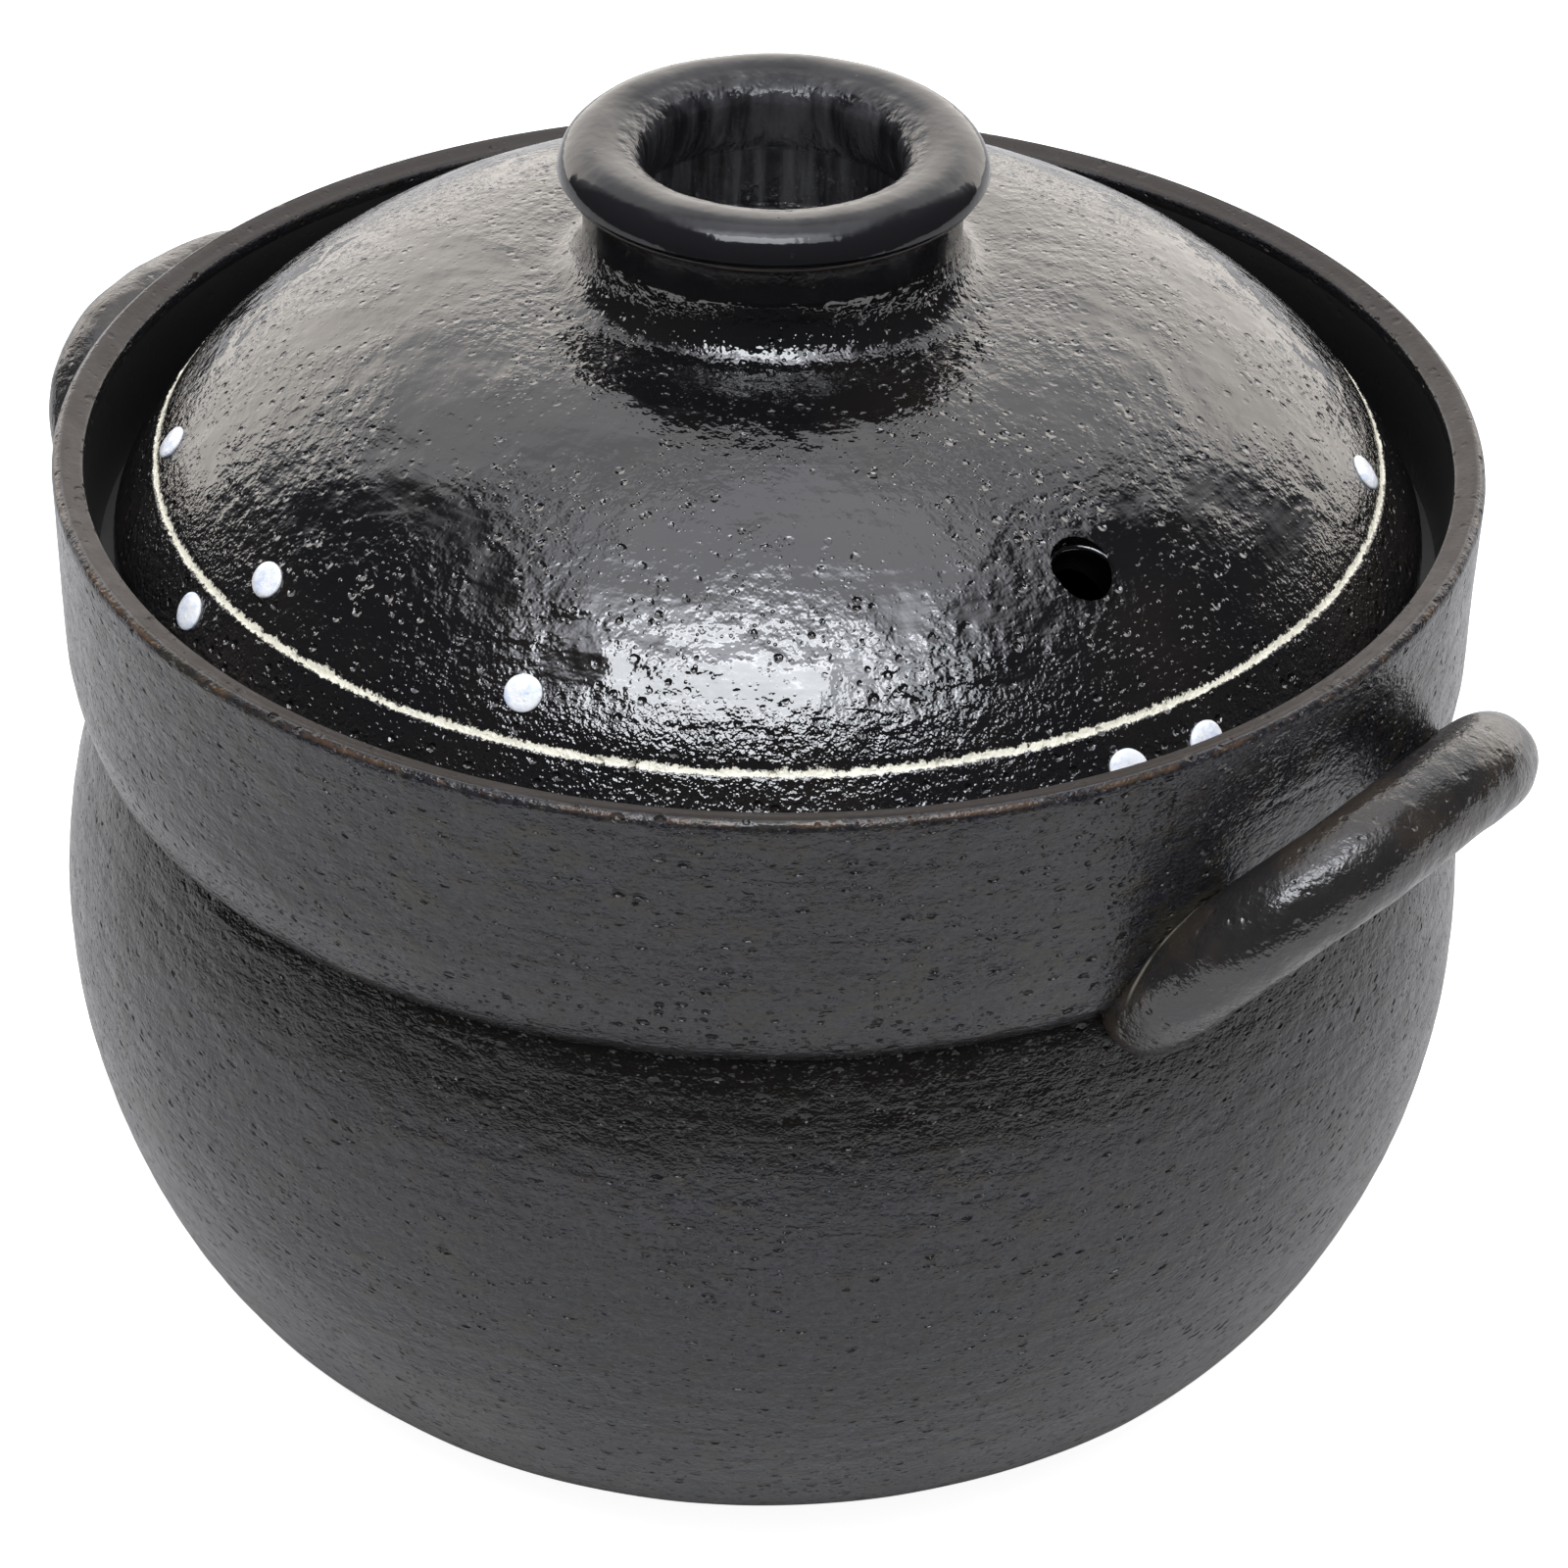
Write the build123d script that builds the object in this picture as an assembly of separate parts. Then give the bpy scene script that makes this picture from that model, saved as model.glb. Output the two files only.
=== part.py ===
from build123d import *
import os
from math import asin, cos, degrees, pi, radians, sin, sqrt, tan

# A wheel-thrown rice pot with two lids: a deep collar stands above the belly,
# the domed outer lid lies inside that collar, and a flat inner lid lies on a
# lower ledge. Millimetres, +Z up, origin under the middle of the foot, the two
# handles along X.

# The pot's outside
pot_height = 138.0
rim_radius = 100.0
rim_round_radius = 1.5
collar_height = 37.2
collar_roll_height = 10.8
collar_roll_depth = 2.0
groove_height = 2.4
groove_depth = 2.2
belly_bulge = 6.5
belly_height_share = 0.656
hip_height_share = 0.28
foot_radius = 48.0
foot_curve_share = 0.318

# The pot's inside, with a ledge for each lid
rim_width = 4.3
rim_fall = 0.8
collar_wall = 5.5
belly_wall = 6.4
outer_ledge_depth = 16.8
outer_ledge_width = 5.2
inner_ledge_depth = 32.5
inner_ledge_width = 6.6
inner_ledge_lip = 2.0
glaze_edge = 0.8

# The outer lid
collar_gap = 2.2
lid_shoulder_share = 0.348
lid_curve_share = 0.741
lid_wall = 5.0
lid_edge_curve = 6.0
lid_seat_width = 5.9
line_share = 0.929
line_width = 1.2
line_depth = 0.35
steam_hole_radius = 4.4
steam_hole_share = 0.7714
steam_hole_lean_share = 0.4
steam_hole_azimuth = radians(-17.9)

# The ring knob, its radii as shares of the dome's shoulder
knob_height = 20.3
knob_flare_height = 8.2
knob_neck_share = 0.81
knob_well_share = 0.62
knob_lip_share = 0.919
knob_crest_share = 0.766
knob_mouth_share = 0.55
knob_lip_rise = 3.7
knob_lip_drop = 2.4
knob_lip_bevel = 0.8
knob_mouth_drop = 4.2
knob_throat_height = 5.5

# The slip dots, each placed by its share of the lid's radius and its azimuth
dot_radius = 2.8
dot_rise = 0.6
dot_root = 0.5
dot_round_share = 0.75
dot_shares = (
    (0.9036, radians(-135.6)),
    (0.8884, radians(-106.1)),
    (0.9599, radians(-113.1)),
    (0.8862, radians(-74.8)),
    (0.9686, radians(-21.3)),
    (0.9707, radians(-13.2)),
    (0.9036, radians(28.0)),
)

# The handles
handle_half_width_share = 0.285
handle_reach_share = 0.17
handle_foot_drop = 3.0
handle_slope = radians(58.0)
handle_lean = radians(2.7)
handle_squareness = 2.45
handle_rod_radius = 7.0
handle_foot_thickness = 7.2
handle_foot_width = 9.6
handle_foot_reach = 5.6
handle_sections = 11
handle_tip_shares = (0.55, 0.85, 0.98)

# The inner lid and its button knob
inner_lid_gap = 1.2
inner_lid_thickness = 6.0
inner_lid_round = 1.6
inner_knob_radius = 14.0
inner_knob_height = 16.0
inner_knob_neck_radius = 8.5
inner_knob_neck_height = 4.8
inner_knob_foot_radius = 11.0
inner_knob_foot_height = 2.2
vent_radius = 4.0
vent_share = 0.5

# One overrun for every cut
overrun = 20.0

# Places that follow from the sizes
collar_bottom = pot_height - collar_height
collar_edge = rim_radius - collar_roll_depth
groove_bottom = collar_bottom - groove_height
groove_radius = collar_edge - groove_depth
belly_height = groove_bottom * belly_height_share
belly_rise = groove_bottom - belly_height
belly_curve_radius = (belly_rise**2 + belly_bulge**2) / (2 * belly_bulge)
belly_curve_centre = groove_radius + belly_bulge - belly_curve_radius
outer_ledge = pot_height - outer_ledge_depth
inner_ledge = pot_height - inner_ledge_depth
rim_inner_radius = rim_radius - rim_width
collar_inner_radius = rim_radius - collar_wall
outer_ledge_inner = collar_inner_radius - outer_ledge_width
inner_ledge_inner = outer_ledge_inner - inner_ledge_width

lid_radius = collar_inner_radius - collar_gap
lid_shoulder_radius = lid_radius * lid_shoulder_share
lid_curve_radius = lid_radius * lid_curve_share
edge_turn = asin(
    (lid_radius - lid_shoulder_radius - lid_edge_curve) / (lid_curve_radius - lid_edge_curve)
)
edge_centre_rise = (lid_curve_radius - lid_edge_curve) * cos(edge_turn)
lid_edge_height = outer_ledge + glaze_edge + lid_edge_curve / 2
lid_curve_centre = lid_edge_height - edge_centre_rise
dome_top = lid_curve_centre + lid_curve_radius
dome_underside = dome_top - lid_wall

knob_top = dome_top + knob_height
knob_seat = dome_top + knob_flare_height
knob_neck_radius = lid_shoulder_radius * knob_neck_share
knob_well_radius = lid_shoulder_radius * knob_well_share
knob_lip_radius = lid_shoulder_radius * knob_lip_share
knob_crest_radius = lid_shoulder_radius * knob_crest_share
knob_mouth_radius = lid_shoulder_radius * knob_mouth_share

handle_half_width = rim_radius * handle_half_width_share
handle_reach = rim_radius * handle_reach_share
handle_foot = collar_bottom - handle_foot_drop


def spun(edges):
    """Turn a closed profile of (radius, height) edges into a solid about Z."""
    return revolve(Plane.XZ * make_face(Wire(edges)), Axis.Z)


def chain(points):
    """Straight edges through a list of (radius, height) points."""
    return [Line(a, b) for a, b in zip(points, points[1:])]


def rounded(start, corner, end):
    """Quarter round from start to end, bulging towards the corner."""
    share = 1 - cos(pi / 4)
    start, corner, end = Vector(*start), Vector(*corner), Vector(*end)
    middle = corner + (start - corner) * share + (end - corner) * share
    return ThreePointArc(start, middle, end)


def belly_arcs():
    """Foot, hip and belly: three tangent arcs from the foot to the groove."""
    fall = asin(belly_height * (1 - hip_height_share) / belly_curve_radius)
    hip = Vector(
        belly_curve_centre + belly_curve_radius * cos(fall),
        belly_height - belly_curve_radius * sin(fall),
    )
    foot = Vector(foot_radius, 0)
    widest = Vector(groove_radius + belly_bulge, belly_height)
    along, upward = Vector(1, 0), Vector(sin(fall), cos(fall))
    chord = hip - foot
    # the two lower arcs meet where their end tangents are of these lengths
    first = chord.length * foot_curve_share
    second = (chord.dot(chord) / 2 - first * chord.dot(along)) / (
        chord.dot(upward) + first * (1 - along.dot(upward))
    )
    meet = ((foot + along * first) * second + (hip - upward * second) * first) * (
        1 / (first + second)
    )
    return [
        TangentArc(foot, meet, tangent=along),
        TangentArc(hip, meet, tangent=-upward),
        ThreePointArc(hip, widest, (groove_radius, groove_bottom)),
    ]


def inset(arc, depth):
    """The arc moved towards its own centre."""
    centre = arc.arc_center
    ends = [arc @ share for share in (0, 0.5, 1)]
    return ThreePointArc(*[end + (centre - end).normalized() * depth for end in ends])


def collar_outside():
    """Collar's outer outline from the groove up to the rim's crest."""
    roll_top = (rim_radius, collar_bottom + collar_roll_height)
    side_top = (rim_radius, pot_height - rim_round_radius)
    crest = (rim_radius - rim_round_radius, pot_height)
    outline = [
        Line((groove_radius, groove_bottom), (collar_edge, collar_bottom)),
        TangentArc(roll_top, (collar_edge, collar_bottom), tangent=(0, -1)),
        Line(roll_top, side_top),
        rounded(side_top, (rim_radius, pot_height), crest),
    ]
    return outline, crest


def make_pot_envelope():
    """The pot's outside as one full solid, for seating the handles on it."""
    collar, crest = collar_outside()
    belly = [Line((0, 0), (foot_radius, 0))] + belly_arcs()
    return spun(belly + collar + chain([crest, (0, pot_height), (0, 0)]))


def make_pot_body():
    """Round belly and flat foot, thrown up to the groove under the collar."""
    outside = belly_arcs()
    inside = [inset(arc, belly_wall) for arc in outside]
    floor = chain([(foot_radius, belly_wall), (0, belly_wall), (0, 0), (foot_radius, 0)])
    return spun(outside + [Line(outside[-1] @ 1, inside[-1] @ 1)] + inside + floor)


def make_pot_collar():
    """Deep collar with its two ledges, luted on the belly at the groove."""
    outline, crest = collar_outside()
    belly_inside = inset(belly_arcs()[-1], belly_wall) @ 1
    brim = pot_height - rim_fall
    brim_in = (rim_inner_radius + glaze_edge, brim)
    side_in = (rim_inner_radius, brim - glaze_edge)
    inside = [Line(crest, brim_in), rounded(brim_in, (rim_inner_radius, brim), side_in)]
    inside += chain([
        side_in,
        (collar_inner_radius, outer_ledge),
        (outer_ledge_inner, outer_ledge),
        (outer_ledge_inner, inner_ledge),
        (inner_ledge_inner, inner_ledge),
        (inner_ledge_inner, inner_ledge - inner_ledge_lip),
        belly_inside,
        (groove_radius, groove_bottom),
    ])
    return spun(outline + inside)


def on_dome(distance, depth=0.0):
    """Point of the dome's outside, or of a layer below it, at a distance."""
    across = distance - lid_shoulder_radius
    return distance, lid_curve_centre + sqrt((lid_curve_radius - depth) ** 2 - across**2)


def dome_frame(distance, azimuth):
    """Plane that touches the dome, its normal pointing out of the lid."""
    lean = asin((distance - lid_shoulder_radius) / lid_curve_radius)
    across, height = on_dome(distance)
    origin = (across * cos(azimuth), across * sin(azimuth), height)
    normal = (sin(lean) * cos(azimuth), sin(lean) * sin(azimuth), cos(lean))
    return Plane(origin=origin, z_dir=normal)


def make_lid_dome_blank():
    """The lid's shell, flared up to the knob's neck, before it is scored."""
    seat_inner = lid_radius - glaze_edge - lid_seat_width
    seat_top = on_dome(seat_inner, lid_wall)
    shoulder = (lid_shoulder_radius, dome_top)
    shoulder_in = (lid_shoulder_radius, dome_underside)
    edge_start = (
        lid_shoulder_radius + lid_curve_radius * sin(edge_turn),
        lid_curve_centre + lid_curve_radius * cos(edge_turn),
    )
    flare = lid_shoulder_radius - knob_neck_radius
    neck_low = (knob_neck_radius, dome_top + flare)
    low_side = (lid_radius, outer_ledge + glaze_edge)
    low_end = (lid_radius - glaze_edge, outer_ledge)
    return spun([
        *chain([
            (0, dome_top),
            (knob_well_radius, dome_top),
            (knob_well_radius, knob_seat),
            (knob_neck_radius, knob_seat),
            neck_low,
        ]),
        TangentArc(neck_low, shoulder, tangent=(0, -1)),
        TangentArc(shoulder, edge_start, tangent=(1, 0)),
        TangentArc((lid_radius, lid_edge_height), edge_start, tangent=(0, 1)),
        Line((lid_radius, lid_edge_height), low_side),
        rounded(low_side, (lid_radius, outer_ledge), low_end),
        *chain([low_end, (seat_inner, outer_ledge), seat_top]),
        TangentArc(shoulder_in, seat_top, tangent=(1, 0)),
        *chain([shoulder_in, (0, dome_underside), (0, dome_top)]),
    ])


def make_lid_dome(blank):
    """Score the ring line into the shell and punch the steam hole."""
    # a round tool of this radius leaves a line of the wanted width and depth
    tool = (line_width**2 / 4 + line_depth**2) / (2 * line_depth)
    line_radius = lid_radius * line_share
    lean = asin((line_radius - lid_shoulder_radius) / lid_curve_radius)
    across, height = on_dome(line_radius)
    lift = tool - line_depth
    scored = Pos(0, 0, height + lift * cos(lean)) * Torus(across + lift * sin(lean), tool)
    # the hole is punched nearer to upright than the dome's surface there
    hole_across, hole_height = on_dome(lid_radius * steam_hole_share)
    hole_lean = steam_hole_lean_share * asin(
        (hole_across - lid_shoulder_radius) / lid_curve_radius
    )
    hole = (
        Rot(0, 0, degrees(steam_hole_azimuth))
        * Pos(hole_across, 0, hole_height)
        * Rot(0, degrees(hole_lean), 0)
        * Cylinder(steam_hole_radius, 2 * lid_wall + overrun)
    )
    return blank - scored - hole


def make_lid_knob():
    """Open ring knob: rolled lip over an undercut neck, luted on the lid's flare."""
    lip_middle = (knob_lip_radius, knob_top - knob_lip_rise)
    crest = (knob_crest_radius, knob_top)
    mouth = (knob_mouth_radius, knob_top - knob_mouth_drop)
    throat = (knob_well_radius, knob_top - knob_mouth_drop - knob_throat_height)
    skirt = (knob_lip_radius - knob_lip_bevel, lip_middle[1] - knob_lip_drop)
    outer = EllipticalCenterArc(
        (knob_crest_radius, lip_middle[1]),
        knob_lip_radius - knob_crest_radius,
        knob_lip_rise,
        start_angle=0,
        arc_size=90,
    )
    inner = EllipticalCenterArc(
        (knob_crest_radius, mouth[1]),
        knob_crest_radius - knob_mouth_radius,
        knob_mouth_drop,
        start_angle=90,
        arc_size=90,
    )
    return spun([
        outer,
        inner,
        TangentArc(mouth, throat, tangent=(0, -1)),
        *chain([
            throat,
            (knob_well_radius, knob_seat),
            (knob_neck_radius, knob_seat),
            (knob_neck_radius, skirt[1] - knob_lip_bevel),
            skirt,
        ]),
        TangentArc(lip_middle, skirt, tangent=(0, -1)),
    ])


def make_slip_dots(blank):
    """Drops of thick slip, each a low round pat seated on the dome's curve."""
    pat = Cylinder(dot_radius, 2 * dot_rise + 2 * dot_root)
    pat = Pos(0, 0, -dot_root) * pat
    pat = fillet(pat.edges().sort_by(Axis.Z)[-1], dot_rise * dot_round_share)
    solids = []
    for share, azimuth in dot_shares:
        solids += (dome_frame(lid_radius * share, azimuth) * pat - blank).solids()
    return Compound(children=solids)


def handle_arch(angle):
    """Centre line of a handle, 0 at one foot and pi at the other."""
    power = 2 / handle_squareness
    side = -handle_half_width * (1 if cos(angle) > 0 else -1) * abs(cos(angle)) ** power
    out = handle_reach * abs(sin(angle)) ** power
    wall = sqrt(groove_radius**2 - side**2)
    return Vector(wall + out, side, handle_foot + out * tan(handle_slope))


def make_handle(envelope, azimuth):
    """A coil of clay bent into an arch, widened and pressed on at its feet."""
    step = pi / (handle_sections - 1)
    nudge = step / handle_sections
    sections = []
    for index in range(handle_sections):
        angle = index * step
        before, after = max(angle - nudge, 0.0), min(angle + nudge, pi)
        along = (handle_arch(after) - handle_arch(before)).normalized()
        swell = abs(cos(angle)) ** (2 * handle_squareness)
        thickness = handle_rod_radius + (handle_foot_thickness - handle_rod_radius) * swell
        width = handle_rod_radius + (handle_foot_width - handle_rod_radius) * swell
        sections.append((handle_arch(angle), along, thickness, width))
    tips_in, tips_out = [], []
    for share in handle_tip_shares:
        shrunk, reach = sqrt(1 - share**2), handle_foot_reach * share
        for tips, foot, way in ((tips_in, sections[0], -1), (tips_out, sections[-1], 1)):
            centre, along, thickness, width = foot
            tips.append((centre + along * (way * reach), along, thickness * shrunk, width * shrunk))
    across = (-sin(handle_slope), 0, cos(handle_slope))
    rings = [
        Plane(origin=centre, x_dir=across, z_dir=along) * Ellipse(thickness, width)
        for centre, along, thickness, width in tips_in[::-1] + sections + tips_out
    ]
    return Rot(0, 0, degrees(azimuth)) * loft(rings) - envelope


def make_inner_lid():
    """Flat lid for the lower ledge, with rounded edges and two vents."""
    radius = outer_ledge_inner - inner_lid_gap
    middle = inner_ledge + inner_lid_thickness / 2
    disc = Pos(0, 0, middle) * Cylinder(radius, inner_lid_thickness)
    disc = fillet(disc.edges().filter_by(GeomType.CIRCLE), inner_lid_round)
    for side in (-1, 1):
        vent = Cylinder(vent_radius, inner_lid_thickness + overrun)
        disc -= Pos(0, side * radius * vent_share, middle) * vent
    return disc


def make_inner_lid_knob():
    """Small button knob luted to the middle of the inner lid."""
    base = inner_ledge + inner_lid_thickness
    foot = base + inner_knob_foot_height
    head_low = foot + inner_knob_neck_height
    top = base + inner_knob_height
    neck = inner_knob_neck_radius + glaze_edge
    head = (inner_knob_radius, (head_low + top) / 2)
    crown = (inner_knob_radius - top + head[1], top)
    return spun([
        *chain([(0, base), (inner_knob_foot_radius, base), (inner_knob_foot_radius, foot)]),
        Line((inner_knob_foot_radius, foot), (neck, foot)),
        ThreePointArc(
            (neck, foot), (inner_knob_neck_radius, (foot + head_low) / 2), (neck, head_low)
        ),
        TangentArc(head, (neck, head_low), tangent=(0, -1)),
        rounded(head, (inner_knob_radius, top), crown),
        *chain([crown, (0, top), (0, base)]),
    ])


def main():
    os.makedirs("parts", exist_ok=True)
    envelope = make_pot_envelope()
    blank = make_lid_dome_blank()
    nodes = {
        "pot_body": make_pot_body(),
        "pot_collar": make_pot_collar(),
        "handle_right": make_handle(envelope, -handle_lean),
        "handle_left": make_handle(envelope, pi + handle_lean),
        "lid_dome": make_lid_dome(blank),
        "lid_knob": make_lid_knob(),
        "lid_slip_dots": make_slip_dots(blank),
        "inner_lid": make_inner_lid(),
        "inner_lid_knob": make_inner_lid_knob(),
    }
    for name, node in nodes.items():
        export_step(node, f"parts/{name}.step")
        box = node.bounding_box()
        print(name, len(node.solids()), round(node.volume / 1000, 2), "cm3",
              [round(v, 2) for v in (*box.min, *box.max)])


main()
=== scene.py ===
import logging
import math
import random
from dataclasses import dataclass, field
from enum import Enum
from typing import Callable, Optional, Sequence, Union

import bpy
from mathutils import Matrix, Vector


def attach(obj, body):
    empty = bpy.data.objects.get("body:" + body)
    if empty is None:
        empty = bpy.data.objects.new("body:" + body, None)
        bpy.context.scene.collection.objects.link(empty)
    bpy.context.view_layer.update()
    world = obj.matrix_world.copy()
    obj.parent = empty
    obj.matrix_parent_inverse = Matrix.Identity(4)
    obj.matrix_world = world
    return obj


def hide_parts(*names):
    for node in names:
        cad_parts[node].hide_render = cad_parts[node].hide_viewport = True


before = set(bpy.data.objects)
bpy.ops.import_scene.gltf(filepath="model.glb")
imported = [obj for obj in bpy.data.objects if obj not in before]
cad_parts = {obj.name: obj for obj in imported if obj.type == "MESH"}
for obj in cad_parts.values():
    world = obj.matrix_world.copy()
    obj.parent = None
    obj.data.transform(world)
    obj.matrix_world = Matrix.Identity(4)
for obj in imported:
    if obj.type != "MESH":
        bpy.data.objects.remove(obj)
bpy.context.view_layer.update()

LOG = logging.getLogger("rice_pot")
MM = 0.001
QUARTER_TURN = math.pi / 2
FULL_TURN = 2 * math.pi
# Sockets of a Mix node that mixes colours.
MIX_SHARE, MIX_LOW, MIX_HIGH, MIX_RESULT = 0, 6, 7, 2
# Vertices closer than this are one, and edges sharper than this stay sharp.
WELD = 0.004 * MM
SHARP = math.radians(38)
Point = tuple[float, float]
Colour = tuple[float, float, float]


class Body(Enum):
    """The CAD bodies that pieces ride on."""

    POT = "pot"
    OUTER_LID = "outer_lid"
    INNER_LID = "inner_lid"


class Slot(Enum):
    """The record's material slots."""

    POT = "pot_glaze"
    HANDLE = "handle_glaze"
    LID = "lid_glaze"
    KNOB = "knob_glaze"
    SLIP = "white_slip"
    INNER = "inner_glaze"


class Value:
    """A shader number or vector that adds nodes when it is calculated with."""

    def __init__(self, tree: "Tree", socket: bpy.types.NodeSocket) -> None:
        """Keep the socket and the tree that it belongs to."""
        self.tree = tree
        self.socket = socket

    def maths(self, operation: str, *others: Union["Value", float]) -> "Value":
        """Result of a Math node, by its operation's name, with this value first."""
        sockets = dict(enumerate([self, *others]))
        return self.tree.add("ShaderNodeMath", {"operation": operation}, sockets)

    def __add__(self, other: Union["Value", float]) -> "Value":
        """Sum."""
        return self.maths("ADD", other)

    def __radd__(self, other: float) -> "Value":
        """Sum with a number on the left."""
        return self.maths("ADD", other)

    def __sub__(self, other: Union["Value", float]) -> "Value":
        """Difference."""
        return self.maths("SUBTRACT", other)

    def __rsub__(self, other: float) -> "Value":
        """Difference from a number on the left."""
        return self.tree.number(other).maths("SUBTRACT", self)

    def __mul__(self, other: Union["Value", float]) -> "Value":
        """Product."""
        return self.maths("MULTIPLY", other)

    def __rmul__(self, other: float) -> "Value":
        """Product with a number on the left."""
        return self.maths("MULTIPLY", other)

    def __truediv__(self, other: Union["Value", float]) -> "Value":
        """Quotient."""
        return self.maths("DIVIDE", other)

    def size(self) -> "Value":
        """Absolute value."""
        return self.maths("ABSOLUTE")

    def least(self, other: Union["Value", float]) -> "Value":
        """The smaller of two."""
        return self.maths("MINIMUM", other)

    def most(self, other: Union["Value", float]) -> "Value":
        """The larger of two."""
        return self.maths("MAXIMUM", other)

    def ramp(self, low: float, high: float, start: float = 0.0, end: float = 1.0) -> "Value":
        """Smooth step.

        Args:
            low: Input where the result is start.
            high: Input where the result is end.
            start: Result at low.
            end: Result at high.

        Returns:
            The eased value, held outside the two inputs.
        """
        settings = {"interpolation_type": "SMOOTHSTEP", "clamp": True}
        sockets = {"Value": self, "From Min": low, "From Max": high, "To Min": start, "To Max": end}
        return self.tree.add("ShaderNodeMapRange", settings, sockets, "Result")


class Tree:
    """The node tree of one finish, with the coordinates that its patterns use."""

    def __init__(self, owner: Union[bpy.types.Material, bpy.types.World]) -> None:
        """Empty the owner's tree and read its coordinates once.

        Args:
            owner: The material or world that the nodes belong to.
        """
        owner.use_nodes = True
        self.nodes = owner.node_tree.nodes
        self.links = owner.node_tree.links
        self.nodes.clear()
        self.place = self.add("ShaderNodeTexCoord", {}, {}, "Object")
        parts = self.add_node("ShaderNodeSeparateXYZ", {}, {"Vector": self.place})
        self.x, self.y, self.z = (Value(self, parts.outputs[axis]) for axis in "XYZ")
        self.reach = (self.x * self.x + self.y * self.y).maths("SQRT")

    def add_node(self, kind: str, settings: dict, sockets: dict) -> bpy.types.Node:
        """Add a node.

        Args:
            kind: The node's type name.
            settings: Its properties, set first.
            sockets: Its inputs by name or number, each a number, colour or link.

        Returns:
            The new node.
        """
        node = self.nodes.new(kind)
        for name, setting in settings.items():
            setattr(node, name, setting)
        for name, given in sockets.items():
            socket = node.inputs[name]
            if isinstance(given, Value):
                self.links.new(given.socket, socket)
            elif isinstance(given, bpy.types.NodeSocket):
                self.links.new(given, socket)
            elif socket.type == "RGBA" and len(given) == 3:
                socket.default_value = (*given, 1.0)
            else:
                socket.default_value = given
        return node

    def add(
        self, kind: str, settings: dict, sockets: dict, output: Union[str, int] = 0
    ) -> Value:
        """Add a node and return one of its outputs as a value."""
        return Value(self, self.add_node(kind, settings, sockets).outputs[output])

    def number(self, number: float) -> Value:
        """A constant to calculate with."""
        return self.add("ShaderNodeMath", {"operation": "ADD"}, {0: number, 1: 0.0})

    def blend(
        self, share: Value, low: Union[Value, Colour], high: Union[Value, Colour]
    ) -> Value:
        """Mix two colours by a share from 0, low, to 1, high."""
        sockets = {MIX_SHARE: share, MIX_LOW: low, MIX_HIGH: high}
        return self.add("ShaderNodeMix", {"data_type": "RGBA"}, sockets, MIX_RESULT)

    def layers(self, base: Union[Value, Colour], *coats: tuple[Value, Colour]) -> Value:
        """Lay colours over one another.

        Args:
            base: The lowest colour.
            coats: The further ones, each after the share that it covers.

        Returns:
            The colour on top.
        """
        for share, colour in coats:
            base = self.blend(share, base, colour)
        return base

    def stretched(self, x: float, y: float, z: float) -> Value:
        """Object coordinates scaled by axis, to squeeze a pattern along some."""
        sockets = {"Vector": self.place, "Scale": (x, y, z)}
        return self.add("ShaderNodeMapping", {"vector_type": "POINT"}, sockets)

    def noise(
        self,
        grain: float,
        detail: float = 2.0,
        rough: float = 0.5,
        place: Optional[Value] = None,
    ) -> Value:
        """Soft random pattern.

        Args:
            grain: Size of its largest feature in metres.
            detail: Number of finer layers.
            rough: Strength of the finer layers.
            place: Coordinates, the object's own by default.

        Returns:
            A value about 0.5.
        """
        sockets = {
            "Vector": place or self.place,
            "Scale": 1.0 / grain,
            "Detail": detail,
            "Roughness": rough,
        }
        return self.add("ShaderNodeTexNoise", {}, sockets, "Fac")

    def ragged(self, place: Value, grain: float, amount: float) -> Value:
        """Coordinates pushed about by a noise, for uneven outlines.

        Args:
            place: The even coordinates.
            grain: Size of the noise in metres.
            amount: Largest push in metres.

        Returns:
            The uneven coordinates.
        """
        sockets = {"Vector": place, "Scale": 1.0 / grain, "Detail": 2.0}
        push = self.add("ShaderNodeTexNoise", {}, sockets, "Color")
        sockets = {0: push, 1: (amount,) * 3, 2: place}
        return self.add("ShaderNodeVectorMath", {"operation": "MULTIPLY_ADD"}, sockets)

    def spots(
        self, grain: float, share: float, size: float, place: Optional[Value] = None
    ) -> Value:
        """Rounded spots of all sizes, scattered one to a cell.

        Args:
            grain: Mean distance between cells in metres.
            share: Share of the cells that hold a spot.
            size: Largest radius in cell sizes, up to about 0.45.
            place: Coordinates, the object's own by default.

        Returns:
            A value of 0 outside the spots, up to 1 in the middle of the largest.
        """
        cell = self.add_node(
            "ShaderNodeTexVoronoi", {"feature": "F1"},
            {"Vector": place or self.place, "Scale": 1.0 / grain, "Randomness": 1.0},
        )
        chance = self.add(
            "ShaderNodeSeparateColor", {}, {"Color": cell.outputs["Color"]}, "Red"
        )
        radius = (chance - (1.0 - share)) * (size / share)
        return (radius - Value(self, cell.outputs["Distance"])).ramp(0.0, size * 0.6)

    def rings(self) -> Value:
        """Coordinates that stay nearly the same round the axis, for wheel marks."""
        sockets = {0: self.reach, 1: self.x * 0.05, 2: self.z + self.y * 0.05}
        return self.add("ShaderNodeCombineXYZ", {}, sockets)

    def attribute(self, name: str) -> Value:
        """A number stored on the mesh."""
        return self.add("ShaderNodeAttribute", {"attribute_name": name}, {}, "Fac")

    def finish(self, shader: bpy.types.NodeSocket) -> None:
        """Send a shader to the material's surface."""
        self.add_node("ShaderNodeOutputMaterial", {}, {"Surface": shader})

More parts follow.
